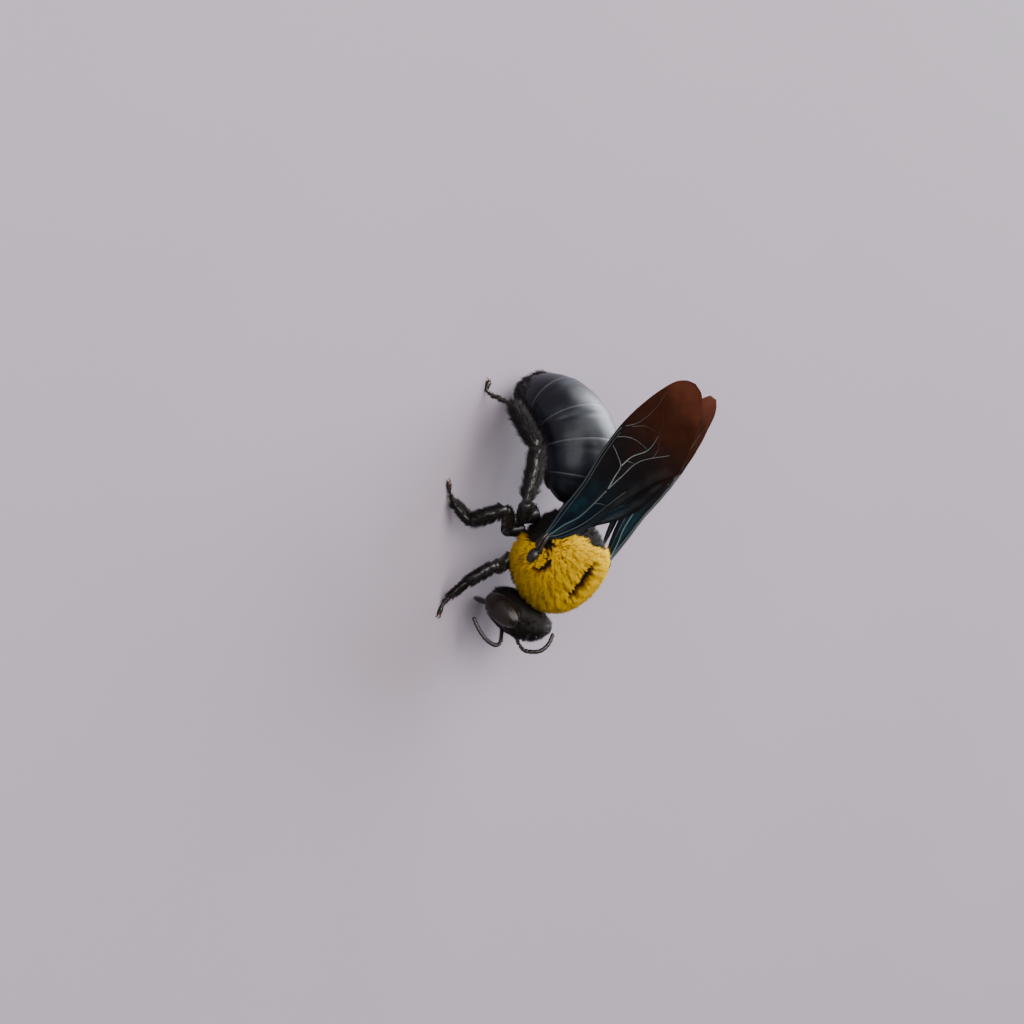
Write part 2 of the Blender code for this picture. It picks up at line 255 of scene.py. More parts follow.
def piece_of(name, points, faces, places, marks):
    """A mesh from points in millimetres, with its unwrap and its point marks."""
    points = np.array(points)
    points[:, 2] = np.maximum(points[:, 2], ABOVE_FLOOR)
    mesh = bpy.data.meshes.new(name)
    mesh.from_pydata(points * MM, [], faces)
    for key, values in marks.items():
        made = mesh.attributes.new(key, "FLOAT", "POINT")
        made.data.foreach_set("value", np.asarray(values, np.float32).ravel())
    unwrap = mesh.uv_layers.new(name="OFBake")
    unwrap.data.foreach_set("uv", np.asarray(places, np.float32).ravel())
    mesh.shade_smooth()
    return linked(name, mesh)


def skin(name, sheets):
    """One closed skin over each sheet, joined, with a strip of the unwrap for each."""
    points = []
    faces = []
    places = []
    start = 0
    for number, sheet in enumerate(sheets):
        rows, around = sheet.rings.shape[:2]
        sheet.strip = (number / len(sheets), (number + 0.98) / len(sheets))
        low, high = sheet.strip
        points.append(sheet.rings.reshape(-1, 3))
        level = low + (high - low) * np.arange(rows) / (rows - 1)
        for i in range(rows - 1):
            for j in range(around):
                k = (j + 1) % around
                here = start + i * around
                faces.append((here + j, here + k, here + around + k, here + around + j))
                left, right = j / around, (j + 1) / around
                places += [(left, level[i]), (right, level[i])]
                places += [(right, level[i + 1]), (left, level[i + 1])]
        for i, order in ((0, -1), (rows - 1, 1)):
            rim = list(range(around))[::order]
            faces.append([start + i * around + j for j in rim])
            places += [(j / around, level[i]) for j in rim]
        start += rows * around
    marks = {key: np.concatenate([sheet.marks[key].ravel() for sheet in sheets])
             for key in sheets[0].marks}
    obj = piece_of(name, np.concatenate(points), faces, places, marks)
    bm = bmesh.new()
    bm.from_mesh(obj.data)
    bmesh.ops.recalc_face_normals(bm, faces=bm.faces)
    bm.to_mesh(obj.data)
    bm.free()
    obj.data.set_sharp_from_angle(angle=math.radians(60))
    return obj


def ball_ways(rings, around, axis):
    """Directions over a sphere, ring by ring along an axis: 1 for y and 2 for z."""
    tilt = np.linspace(0.02, math.pi - 0.02, rings)[:, None]
    turn = circle(around)[None, :]
    along = np.cos(tilt) * np.ones_like(turn)
    first = np.sin(tilt) * np.cos(turn)
    second = np.sin(tilt) * np.sin(turn)
    order = (first, along, second) if axis == 1 else (first, second, along)
    return np.stack(order, axis=-1)


def thorax_points(p):
    """The dome of the thorax out to the tips of its pile, boxy in profile and round from above."""
    x, y, z = p[..., 0], p[..., 1], p[..., 2]
    boxy = (np.abs(y) ** BOXINESS + np.abs(z) ** BOXINESS) ** (1 / BOXINESS)
    q = p / np.sqrt(x ** 2 + boxy ** 2)[..., None]
    length = np.where(y > 0, THORAX_REAR, THORAX_FRONT)
    height = np.where(z > 0, THORAX_TOP, THORAX_BOTTOM)
    narrow = 1 - NARROW_REAR * np.maximum(q[..., 1], 0) ** 2
    narrow -= NARROW_FRONT * np.maximum(-q[..., 1], 0) ** 2
    narrow -= NARROW_BELOW * np.maximum(-q[..., 2], 0) ** 2
    spread = np.stack([THORAX_HALF_WIDTH * narrow, length, height], axis=-1)
    return q * spread


def bare_line(p):
    """1 on the bare line down the middle of the back."""
    reach = np.clip(1 - ((p[..., 1] - BARE_MIDDLE) / BARE_HALF_LENGTH) ** 2, 0, 1) ** 0.6
    half = BARE_HALF_WIDTH * reach + 0.001
    return (1 - smooth(0.8, 1.15, np.abs(p[..., 0]) / half)) * (p[..., 2] > 0) * (reach > 0)


def wing_bay(p):
    """Distance in millimetres from the wing scale, round which the pile parts."""
    from_scale = np.abs(p[..., 0]) - TEGULA.x * 0.86
    return np.sqrt(from_scale ** 2 + (p[..., 1] - TEGULA.y) ** 2 + (p[..., 2] - TEGULA.z) ** 2)


def yellow(p):
    """1 where the pile is yellow: the back, the shoulders and the sides below the wing scales."""
    waver = 0.2 * np.sin(p[..., 1] * 2.3) + 0.12 * np.sin(p[..., 1] * 5.1 + 1.0)
    low = -1.7 + 1.9 * smooth(1.9, 3.4, -p[..., 1]) + waver
    down = smooth(-0.2, 0.2, p[..., 2] - low)
    limit = 0.6 + 2.9 * smooth(0.3, 2.3, p[..., 2])
    rear = 1 - smooth(-0.15, 0.2, p[..., 1] - limit)
    return down * rear


def crease(p):
    """1 in the dark crease that runs over each wing scale from the wing root forwards."""
    back, up = p[..., 1] - CREASE_MIDDLE[0], p[..., 2] - CREASE_MIDDLE[1]
    angle = np.arctan2(up, back)
    window = smooth(0.15, 0.5, angle) * (1 - smooth(2.75, 3.1, angle))
    line = ridge(np.hypot(back, up), CREASE_RADIUS, CREASE_WIDTH)
    return line * window * (np.abs(p[..., 0]) > FLANK)


def parting(p):
    """How much hair there is: none on the bare line, at a wing's root or scale or in its crease."""
    at_root = np.hypot(p[..., 1] - HAIRLESS_ROOT[0], p[..., 2] - HAIRLESS_ROOT[1])
    at_root = at_root + 9.0 * (np.abs(p[..., 0]) < FLANK)
    bare = (1 - bare_line(p)) * (1 - 0.98 * smooth(0.3, 0.7, crease(p)))
    return bare * smooth(0.48, 0.64, wing_bay(p)) * smooth(0.45, 0.75, at_root)


thorax_ways = ball_ways(120, 160, axis=1)
thorax_tips = thorax_points(thorax_ways)
thorax_own = Sheet(thorax_tips)
thorax_inner = thorax_tips - thorax_own.out * PILE
x, y, z = (thorax_inner[..., k] for k in range(3))
groove = ridge(x, 0.0, 0.1) * (z > 0) * 0.06
side_groove = ridge(np.abs(x), 1.35, 0.1) * 0.04 * (z > 2) * (np.abs(y) < 1.6)
thorax_inner -= thorax_own.out * (groove + side_groove)[..., None]
thorax_mark = yellow(thorax_tips) * smooth(0.3, 0.9, parting(thorax_tips))
thorax_sheet = Sheet(placed(THORAX, thorax_inner)).marked(yellow=thorax_mark)

under_pile, paint = finish("shell under the pile", {
    "Roughness": 0.55, "Specular IOR Level": 0.08})
grain = spots(paint, 0.25)
# Under the yellow pile the shell is painted dark ochre, the pile's yellow in painted shade at its
# depth; elsewhere it is its own black.
dark = grain.mix((0.004, 0.003, 0.0028), (0.009, 0.006, 0.0045))
ochre_in_shade = grain.mix((0.06, 0.026, 0.002), (0.12, 0.06, 0.004))
feed(paint, {"Base Color": mark(paint, "yellow").mix(dark, ochre_in_shade),
             "Normal": pitted(paint, 0.12, 1.0, grain, 0.02)})
dress(skin("thorax_shell", [thorax_sheet]), under_pile, "yellow coat", "thorax")

# Pile of the thorax. Yellow hairs stand close and upright over the back and sides, in small
# tufts that lean away from the wing roots; below and behind, the hair is black and looser. It
# parts along the bare line and in a crease over each wing scale.
PILE_TUFTS = 1640
PILE_HAIRS = 40
PILE_PIECES = 5
BLACK_TUFTS = 2600
PATCH = 0.003
TUFT_LENGTHS = (0.86, 0.28)
HAIR_LENGTHS = (0.74, 0.32)
HAIR_STRAY = 0.05
ROOT_DEPTH = 0.06
OWN_TONE = 0.35
FAN_ROOT = np.array((4.34, 2.4, 1.0))


def tufts(name, root, way, place, length, seed, width, gather, hairs=12, spread=0.12,
          stray=0.12, lock=0.5):
    """Hair as joined tufts of thin three-sided hairs that draw together towards their tips."""
    rng = np.random.default_rng(seed)
    n = len(root)
    way = unit(way + rng.normal(size=(n, 3)) * stray)
    length = np.broadcast_to(length, n) * (TUFT_LENGTHS[0] + TUFT_LENGTHS[1] * rng.random(n))
    side = unit(np.cross(way, rng.normal(size=(n, 3))))
    other = np.cross(way, side)
    turn = rng.random((n, hairs)) * math.tau
    reach = np.sqrt(rng.random((n, hairs))) * spread
    offset = side[:, None] * (np.cos(turn) * reach)[..., None]
    offset += other[:, None] * (np.sin(turn) * reach)[..., None]
    grow = HAIR_LENGTHS[0] + HAIR_LENGTHS[1] * rng.random((n, hairs, 1))
    grow = length[:, None, None] * grow
    lean = way[:, None] + rng.normal(size=(n, hairs, 3)) * HAIR_STRAY
    base = root[:, None] + offset - way[:, None] * ROOT_DEPTH
    stack = []
    for k in range(3):
        angle = turn + math.tau * k / 3
        rim = side[:, None] * np.cos(angle)[..., None] + other[:, None] * np.sin(angle)[..., None]
        stack.append(base + rim * (width * 0.5))
    stack.append(root[:, None] + offset * (1 - gather) + lean * grow)
    points = np.stack(stack, axis=2)
    pattern = np.array([(0, 1, 3), (1, 2, 3), (2, 0, 3)])
    faces = (np.arange(n * hairs) * 4)[:, None, None] + pattern[None]
    faces = faces.reshape(-1, 3)
    across = np.broadcast_to((np.arange(hairs) / hairs - 0.5)[None, :, None], (n, hairs, 4))
    upward = np.broadcast_to(np.array((-0.5, -0.5, -0.5, 0.5)), (n, hairs, 4))
    spot = place[:, None, None, :] + np.stack([across, upward], axis=-1) * PATCH
    # Each tuft's tone is partly random and partly painted shade: darker in the gaps between locks.
    tone_and_shade = OWN_TONE * rng.random(n) + (1 - OWN_TONE) * np.broadcast_to(lock, n)
    tone_and_shade = np.broadcast_to(tone_and_shade[:, None, None], (n, hairs, 4))
    marks = {"tip": upward + 0.5, "tone_and_shade": tone_and_shade}
    spot = spot.reshape(-1, 2)[faces.ravel()]
    return piece_of(name, points.reshape(-1, 3), faces, spot, marks)


def hair_finish(name, fixed, low, high, roots, tips):
    """Hair in painted shade at its roots, each end a mix of two colours from tuft to tuft."""
    made, paint = finish(name, fixed)
    tone_and_shade = mark(paint, "tone_and_shade")
    up = mark(paint, "tip").between(low, high)
    feed(paint, {"Base Color": up.mix(tone_and_shade.mix(*roots), tone_and_shade.mix(*tips))})
    return made


# Root colours are painted shade deep in the pile; the darker tip colour partly paints shade between
# locks.
yellow_hair = hair_finish("yellow hair", {"Roughness": 0.6, "Specular IOR Level": 0.05}, 0.2, 0.85,
                          ((0.045, 0.015, 0.001), (0.20, 0.085, 0.002)),
                          ((0.40, 0.16, 0.002), (1.0, 0.66, 0.006)))
black_hair = hair_finish("black hair", {"Roughness": 0.45, "Specular IOR Level": 0.3}, 0.4, 1.0,
                         ((0.0035, 0.003, 0.003), (0.009, 0.0068, 0.006)),
                         ((0.017, 0.0115, 0.009), (0.017, 0.0115, 0.009)))


def black_coat(name, *bed, **looks):
    """Loose black hair on a bed of roots."""
    dress(tufts(name, *bed, **looks), black_hair, "black cuticle")


def combed(p, out):
    """The pile leans away from the wing roots, over the back and forwards to the head."""
    away = p.copy()
    away[:, 0] -= np.sign(p[:, 0]) * FAN_ROOT[0]
    away[:, 1:] -= FAN_ROOT[1:]
    turned = unit(away) @ np.array(THORAX.to_3x3()).T
    level = turned - out * np.sum(turned * out, axis=1)[:, None]
    calm = smooth(0.6, 2.2, np.abs(p[:, 0])) * smooth(1.3, 1.5, wing_bay(p))
    return unit(out + level * (0.5 * calm)[:, None])


def locks(p):
    """Locks of the pile that fan out from each wing root: 1 on the crest of one, 0 between two."""
    pole = unit(FAN_ROOT)
    first = unit(np.cross(pole, (0.0, 0.0, 1.0)))
    q = unit(np.stack([np.abs(p[:, 0]), p[:, 1], p[:, 2]], axis=-1))
    turn = np.arctan2(q @ np.cross(pole, first), q @ first)
    reach = np.arccos(np.clip(q @ pole, -1, 1))
    waves = np.sin(37 * turn + 1.6 * np.sin(5.0 * reach))
    waves += 0.9 * np.sin(67 * turn + 2.1 * np.sin(7.3 * reach))
    waves += 0.7 * np.sin(23 * turn + 11.0 * reach)
    return smooth(-1.5, 0.8, waves)


def thorax_bed(count, weight, seed):
    root, out, _, place = thorax_sheet.bed(count, weight, seed)
    p = placed(THORAX.inverted(), root + out * PILE)
    return root, combed(p, out), place, p


pile_weight = yellow(thorax_tips) * parting(thorax_tips)
for number in range(PILE_PIECES):
    root, way, place, p = thorax_bed(PILE_TUFTS, pile_weight, 11 + number)
    # Locks set each tuft's length, and paint the tufts between them darker as shade.
    lock = locks(p)
    length = PILE * (1 - 0.45 * smooth(1.5, 1.2, wing_bay(p))) * (0.76 + 0.26 * lock)
    coat = tufts(f"yellow_pile_{number + 1}", root, way, place, length, 31 + number,
                 hairs=PILE_HAIRS, width=0.036, gather=0.74, stray=0.10, lock=lock)
    dress(coat, yellow_hair, "yellow coat")

black_weight = (1 - yellow(thorax_tips)) * parting(thorax_tips)
black_weight *= smooth(-4.2, -2.0, thorax_tips[..., 2]) * 0.8 + 0.2
root, way, place, p = thorax_bed(BLACK_TUFTS, black_weight, 21)
black_coat("black_pile", root, way, place, PILE * 0.85, 41, width=0.034, gather=0.6)

# Head shell. A broad black box that hangs mouth down from the neck: a shield over the mouth
# with a seam round it, a low ridge between the feelers' sockets, and a rim round each eye.
NECK_TO_FACE = 6.05
HEAD_HALF_WIDTH = 3.45
HEAD_HALF_HEIGHT = 2.75
FACE_DEPTH = 1.95
NAPE_DEPTH = 1.45
JAW_TAPER = 0.24
EYE_CENTRE = Vector((2.95, 0.0, 0.3))
EYE_RADII = np.array((0.78, 1.12, 2.05))
HEAD = BODY @ Matrix.Translation((0.0, -NECK_TO_FACE, 0.08))
SOCKET = (0.92, 0.1)


def head_points(p):
    """The head's solid form: squarish from the front, a lens from above, narrower at the jaws."""
    x, y, z = p[..., 0], p[..., 1], p[..., 2]
    square = (np.abs(x) ** 2.5 + np.abs(z) ** 2.5) ** 0.4
    q = p / np.sqrt(y ** 2 + square ** 2)[..., None]
    taper = 1 - JAW_TAPER * np.maximum(-q[..., 2], 0) - 0.05 * np.maximum(q[..., 2], 0)
    depth = np.where(q[..., 1] > 0, NAPE_DEPTH, FACE_DEPTH)
    size = [HEAD_HALF_WIDTH * taper, depth, np.full_like(depth, HEAD_HALF_HEIGHT)]
    return q * np.stack(size, axis=-1)


def eye_reach(p):
    """1 on the surface of the nearer eye, more outside it."""
    q = np.stack([np.abs(p[..., 0]) - EYE_CENTRE.x, p[..., 1], p[..., 2] - EYE_CENTRE.z], axis=-1)
    return np.linalg.norm(q / EYE_RADII, axis=-1)


def face_relief(p):
    """How far the face stands out or in, in millimetres."""
    x, y, z = p[..., 0], p[..., 1], p[..., 2]
    face = smooth(0.1, 0.9, -y)
    shield = np.sqrt((x / (1.3 + 0.25 * (-z - 1.3))) ** 2 + ((z + 1.4) / 0.95) ** 2)
    relief = 0.16 * (1 - smooth(0.55, 1.0, shield)) - 0.07 * ridge(shield, 1.06, 0.08)
    relief += 0.13 * ridge(x, 0.0, 0.22) * smooth(-0.5, -0.1, z) * (1 - smooth(0.5, 1.1, z))
    relief -= 0.05 * ridge(x, 0.0, 0.06) * smooth(0.9, 1.3, z)
    socket = np.hypot(np.abs(x) - SOCKET[0], z - SOCKET[1])
    relief -= 0.16 * np.exp(-socket ** 2 / 0.05)
    relief += 0.06 * ridge(socket, 0.36, 0.08)
    relief *= face
    eye = eye_reach(p)
    relief += 0.07 * ridge(eye, 1.17, 0.07)
    relief -= 0.08 * ridge(eye, 1.04, 0.05)
    relief += 0.03 * np.sin(x * 4.0) * np.sin(z * 3.0 + 0.5) * (eye > 1.1)
    return relief - 0.1


def shell_finish(name, fixed, worn_scale, grain_scale, tints, smoothest, pit, depth, bump,
                 end=None):
    """Black shell: worn patches, fine punctures, and a tint towards the ends that are marked."""
    made, paint = finish(name, fixed)
    worn = spots(paint, worn_scale, 3.0)
    tint = worn.between(0.3, 0.7).mix(*tints)
    if end:
        tint = mark(paint, "end").mix(tint, end)
    feed(paint, {"Base Color": tint,
                 "Roughness": worn.between(0.25, 0.75) * 0.16 + smoothest,
                 "Normal": pitted(paint, pit, depth, spots(paint, grain_scale), bump)})
    return made


black_shell = shell_finish(
    "black shell", {"Specular IOR Level": 0.4, "Coat Weight": 0.2, "Coat Roughness": 0.12},
    0.9, 0.12, ((0.004, 0.0033, 0.0032), (0.011, 0.0072, 0.0056)), 0.24, 0.14, 0.8, 0.02)


def black_piece(name, sheets, *nodes):
    """A piece of plain black shell."""
    dress(skin(name, sheets), black_shell, "black cuticle", *nodes)


head_tips = head_points(ball_ways(130, 176, axis=2))
head_own = Sheet(head_tips)
head_face = head_tips + head_own.out * face_relief(head_tips)[..., None]
head_sheet = Sheet(placed(HEAD, head_face))
black_piece("head_shell", [head_sheet], "head")

# Compound eyes. Long dark ovals down the sides of the head, a hexagonal net of tiny lenses
# under one smooth gloss; they are domes of clear shell, set in the rim of the head.
LENS = 0.055

eye_finish, paint = finish("compound eye", {
    "Specular IOR Level": 0.25, "Coat Weight": 0.18, "Coat Roughness": 0.07})
net = texture(paint, "TexVoronoi", {"feature": "DISTANCE_TO_EDGE"}, LENS, {"Randomness": 0.25})
amber = spots(paint, 0.8).mix((0.006, 0.004, 0.0035), (0.018, 0.010, 0.007))
tint = net.between(0.0, 0.12).mix((0.003, 0.0025, 0.0025), amber)
rough = 0.30 - net.between(0.0, 0.3) * 0.12
normal = bumped(paint, net.between(0.0, 0.4), 0.012, 0.25)
feed(paint, {"Base Color": tint, "Roughness": rough, "Normal": normal})

for which, side in SIDES.items():
    dome = ball_ways(64, 72, axis=2) * EYE_RADII * 0.985
    inner = smooth(0.1, -0.6, dome[..., 0] * side)
    dome[..., 1] *= 1 - 0.10 * ridge(dome[..., 2], -0.1, 0.9) * inner
    sheet = Sheet(placed(HEAD, dome + np.array(mirrored(EYE_CENTRE, side))))
    dress(skin("eye_dome_" + which, [sheet]), eye_finish, "compound eye", "eye_" + which)

# Simple eyes. Three glassy beads on the crown of the head, in a triangle.
OCELLI = ((0.0, -0.50, 0.86), (0.21, -0.30, 0.93), (-0.21, -0.30, 0.93))
OCELLUS_RADIUS = 0.19

bead_glass, paint = finish("simple eye", {"Coat Weight": 1.0, "Coat Roughness": 0.05})
tint = spots(paint, 0.2).mix((0.010, 0.006, 0.005), (0.028, 0.015, 0.010))
feed(paint, {"Base Color": tint})
beads = []
for way in OCELLI:
    seat = head_points(unit(np.array(way, float)))
    beads.append(Sheet(placed(HEAD, seat + ball_ways(16, 20, axis=2) * OCELLUS_RADIUS)))
dress(skin("simple_eyes", beads), bead_glass, "compound eye")

# Jaws and mouth. Two broad grooved blades, each with a blunt point and a second tooth, that
# close under the face shield; an upper lip hangs between their roots, and the tongue is
# folded back beneath the head.
JAW_ROUTE = ((1.72, -0.6, -1.6), (1.74, -0.95, -2.45), (1.3, -1.17, -3.02), (0.7, -1.2, -3.28),
             (0.14, -1.18, -3.36))
JAW_RADII = (0.42, 0.5, 0.5, 0.36, 0.12)
JAW_TOOTH = ((0.85, -1.2, -3.1), (0.5, -1.26, -2.95), (0.24, -1.28, -2.98))
JAW_FACE = (0.0, -1.0, 0.3)
GROOVES = (0.3, -0.35)
GROOVE_WIDTH = 0.09
GROOVE_DEPTH = 0.12
LIP_CENTRE = np.array((0.0, -0.86, -2.38))
LIP_RADII = np.array((0.98, 0.4, 0.62))
TONGUE = ((0.0, -0.75, -2.75), (0.0, 0.1, -2.8), (0.0, 1.0, -2.3))
TONGUE_SHEATH = ((0.4, -0.7, -2.65), (0.36, 0.1, -2.7), (0.2, 0.9, -2.3))


def route(points, count):
    """A smooth line through a few points, evenly stepped between them."""
    pts = np.array([tuple(p) for p in points], float)
    ends = np.vstack([2 * pts[0] - pts[1], pts, 2 * pts[-1] - pts[-2]])
    t = np.linspace(0, len(pts) - 1, count)
    i = np.minimum(t.astype(int), len(pts) - 2)
    f = (t - i)[:, None]
    a, b, c, d = (ends[i + k] for k in range(4))
    cubic = (3 * b - a - 3 * c + d) * f ** 3
    return 0.5 * (2 * b + (c - a) * f + (2 * a - 5 * b + 4 * c - d) * f ** 2 + cubic)


def side_route(matrix, points, side, count):
    """A smooth line on either side of a piece, from its points on the left."""
    return placed(matrix, route([mirrored(p, side) for p in points], count))


def through(values, count):
    """A few values, smoothly filled in to a count."""
    return route([(v, 0.0, 0.0) for v in values], count)[:, 0]


def rod(path, radii, around=20, flat=1.0, up=(0.0, 0.0, 1.0), ends=(0.12, 0.12)):
    """Rings round a path, flattened along up, with both ends rounded over a share of it."""
    heading = unit(np.gradient(path, axis=0))
    side = np.cross(heading[0], up)
    s = np.linspace(0, 1, len(path))
    close = np.clip((ends[0] - s) / ends[0], 0, 1) ** 2
    close = close + np.clip((s - 1 + ends[1]) / ends[1], 0, 1) ** 2
    thick = np.asarray(radii) * np.sqrt(np.clip(1 - close, 0.004, 1))
    turn = circle(around)[:, None]
    rings = []
    for point, way, radius in zip(path, heading, thick):
        side = side - way * np.dot(side, way)
        side = side / np.linalg.norm(side)
        top = np.cross(side, way)
        rings.append(point + (side * np.cos(turn) + top * np.sin(turn) * flat) * radius)
    return Sheet(rings)


for which, side in SIDES.items():
    path = side_route(HEAD, JAW_ROUTE, side, 40)
    blade = rod(path, through(JAW_RADII, 40), around=48, flat=0.55, up=JAW_FACE)
    broad = np.cos(circle(48))
    dent = sum(ridge(broad, groove, GROOVE_WIDTH) for groove in GROOVES)
    dent = dent * smooth(1.0, 0.75, np.linspace(0, 1, 40))[:, None] * GROOVE_DEPTH
    middle = blade.rings.mean(1, keepdims=True)
    blade = Sheet(middle + (blade.rings - middle) * (1 - dent)[..., None])
    path = side_route(HEAD, JAW_TOOTH, side, 16)
    tooth = rod(path, through((0.26, 0.18, 0.05), 16), flat=0.7, up=JAW_FACE)
    black_piece("jaw_" + which, [blade, tooth], "mandible_" + which)

lip = ball_ways(24, 32, axis=2) * LIP_RADII + LIP_CENTRE
tongue = rod(placed(HEAD, route(TONGUE, 24)), through((0.34, 0.3, 0.16), 24), around=16, flat=0.6)
mouth = [Sheet(placed(HEAD, lip)), tongue]
for side in SIDES.values():
    lobe = side_route(HEAD, TONGUE_SHEATH, side, 20)
    mouth.append(rod(lobe, through((0.24, 0.24, 0.1), 20), around=12, flat=0.5))
black_piece("mouth", mouth)

# Feelers. A straight shaft from each socket, a short joint at the elbow, and a lash of ten
# ringed lengths. The left one is swung up and back, the right one hangs forward and down.
SWINGS = {
    "left": ((0.9, -1.75, 0.1), (1.3, -2.3, 1.55), (1.5, -2.3, 2.3), (1.9, -1.6, 3.15),
             (2.4, -0.7, 3.2), (2.75, 0.3, 2.75)),
    "right": ((-0.9, -1.75, 0.1), (-1.45, -2.6, 1.35), (-2.0, -2.95, 1.35), (-2.75, -2.95, 0.7),
              (-3.25, -2.6, -0.3), (-3.45, -2.1, -1.3)),
}
SHAFT_RADIUS = 0.17
LASH_RADIUS = 0.2
LASH_LENGTHS = 10

for which, swing in SWINGS.items():
    socket, elbow = np.array(swing[0]), np.array(swing[1])
    shaft_path = placed(HEAD, route([socket + np.array((0, 0.35, 0)), elbow], 24))
    shaft = rod(shaft_path, through((0.12, 0.19, SHAFT_RADIUS, 0.2), 24), up=(1.0, 0.0, 0.0))
    rows = LASH_LENGTHS * 8 + 1
    s = np.linspace(0, LASH_LENGTHS, rows)
    waist = np.abs((s + 0.5) % 1.0 - 0.5)
    thick = LASH_RADIUS * (1 - 0.2 * ridge(waist, 0.0, 0.09))
    thick = thick * through((0.8, 1.0, 1.0, 0.95, 0.9), rows)
    lash_path = placed(HEAD, route(swing[1:], rows))
    lash = rod(lash_path, thick, around=16, up=(1.0, 0.0, 0.2), ends=(0.03, 0.05))
    knob_path = placed(HEAD, route([elbow, elbow * 0.6 + np.array(swing[2]) * 0.4], 10))
    knob = rod(knob_path, np.full(10, 0.19), around=16, up=(1.0, 0.0, 0.0), ends=(0.4, 0.4))
    black_piece("feeler_shaft_" + which, [shaft, knob], "scape_" + which)
    black_piece("feeler_lash_" + which, [lash], "flagellum_" + which)

# Hair of the head. Short fine black hair on the face, thinnest on its shield, and longer hair on
# the crown and behind the eyes; the eyes and the jaws stay bare and shining.
HEAD_TUFTS = 2600
FACE_TUFTS = 3600

x, y, z = (head_face[..., k] for k in range(3))
crown = smooth(1.3, 2.1, z)
behind = smooth(0.0, 0.5, y) * smooth(-2.4, -1.2, z)
beard = smooth(0.3, 0.9, -y) * smooth(-0.9, -1.6, z) * smooth(1.1, 1.5, np.abs(x)) * 0.7
clear_of_eye = smooth(1.08, 1.2, eye_reach(head_face))
weight = (crown * 0.8 + behind + beard) * clear_of_eye + 1e-4
root, out, along, place = head_sheet.bed(HEAD_TUFTS, weight, 51)
p = placed(HEAD.inverted(), root)
length = 0.26 + 0.24 * smooth(1.4, 2.2, p[:, 2]) + 0.2 * smooth(0.0, 0.6, p[:, 1])
forward = np.array(HEAD.to_3x3())[:, 1] * -0.25
black_coat("head_hair", root, unit(out + forward + along * 0.35), place, length, 52, hairs=7,
           spread=0.08, width=0.028, gather=0.2)
shield = np.hypot(x / 1.35, (z + 1.4) / 1.0)
weight = smooth(0.1, 0.6, -y) * clear_of_eye * (0.12 + smooth(0.8, 1.2, shield)) + 1e-4
root, out, along, place = head_sheet.bed(FACE_TUFTS, weight, 53)
black_coat("face_hair", root, unit(out * 0.55 + along * 0.9), place, 0.15, 54, hairs=4,
           spread=0.06, width=0.017, gather=0.1, stray=0.2)

# Wing scales. A smooth oval cap of thin black shell over the root of each forewing, flatter on
# its inner side, with a shallow groove inside its rim.
SCALE_RADII = np.array((0.40, 0.72, 0.54))
INNER_FLATNESS = 0.4

for which, side in SIDES.items():
    cap = ball_ways(32, 40, axis=1) * SCALE_RADII
    cap[..., 0] *= np.where(cap[..., 0] * side < 0, INNER_FLATNESS, 1.0)
    reach = np.linalg.norm(cap[..., 1:] / SCALE_RADII[1:], axis=-1)
    cap *= (1 - 0.06 * ridge(reach, 0.86, 0.05))[..., None]
    centre = np.array(mirrored(TEGULA, side))
    sheet = Sheet(placed(THORAX, cap + centre))
    black_piece("wing_scale_" + which, [sheet], "tegula_" + which)

# Wing roots. Small black knuckles of shell between each wing scale and the root of its wing.
KNUCKLES = (
    ((4.30, 0.25, 1.75), (4.58, 1.0, 1.65), (4.50, 2.2, 1.35), 0.15),
    ((4.30, 0.3, 1.25), (4.58, 1.1, 1.2), (4.45, 2.2, 1.1), 0.2),
    ((4.30, 0.5, 0.75), (4.45, 1.3, 0.8), (4.34, 2.2, 0.9), 0.14),
)
for which, side in SIDES.items():
    rods = []
    for *line, thick in KNUCKLES:
        path = side_route(THORAX, line, side, 24)
        beads = through((0.8, 1.15, 0.75, 1.1, 0.7), 24) * thick
        rods.append(rod(path, beads, around=14, ends=(0.15, 0.15)))
    black_piece("wing_knuckle_" + which, rods)

# Abdomen. Six rings of polished black plate that slide into one another like a telescope:
# each hind margin lies over the ring behind it, and along each flank the back plate folds
# over the belly plate. It curls down and forward, ending in the point that holds the sting.
ABDOMEN_ROOT = (0.0, 0.15, 7.6)
ABDOMEN_LENGTH = 14.0
ABDOMEN_START = math.radians(15.0)
ABDOMEN_CURL = math.radians(122.0)
EARLY_CURL = 0.6
ABDOMEN_HALF_HEIGHT = 3.3
ABDOMEN_FLATNESS = 1.36
BELLY_FLATNESS = 0.88
FULLEST = 0.42
RING_MARGINS = (0.02, 0.19, 0.379, 0.545, 0.727, 0.874, 1.0)
TUCK = 0.05
FOLD_ANGLE = math.radians(-32.0)
FOLD_DEPTH = 0.07
BELLY_STEP = 0.05
SPINE_STEPS = 400
RIM_SWELLS = (0.9935, 0.990, 0.982, 0.965)
RIM_REACHES = (0.0012, 0.002, 0.0015, -0.004)
AROUND = 144
WAIST = ((0.0, -1.2, 7.1), (0.0, 0.2, 7.6), (0.0, 0.9, 7.8))


def heading_at(t):
    """How far the abdomen's middle line points up at shares t of its length."""
    return ABDOMEN_START - ABDOMEN_CURL * (EARLY_CURL * t + (1 - EARLY_CURL) * t ** 2)


def spine(t):
    """Points of the abdomen's middle line at shares t of its length."""
    steps = np.linspace(0, 1, SPINE_STEPS + 1)
    heading = heading_at((steps[1:] + steps[:-1]) / 2)
    for turned, root in ((np.cos(heading), ABDOMEN_ROOT[1]), (np.sin(heading), ABDOMEN_ROOT[2])):
        line = np.concatenate([[0], np.cumsum(turned)]) * ABDOMEN_LENGTH / SPINE_STEPS + root
        yield np.interp(t, steps, line)


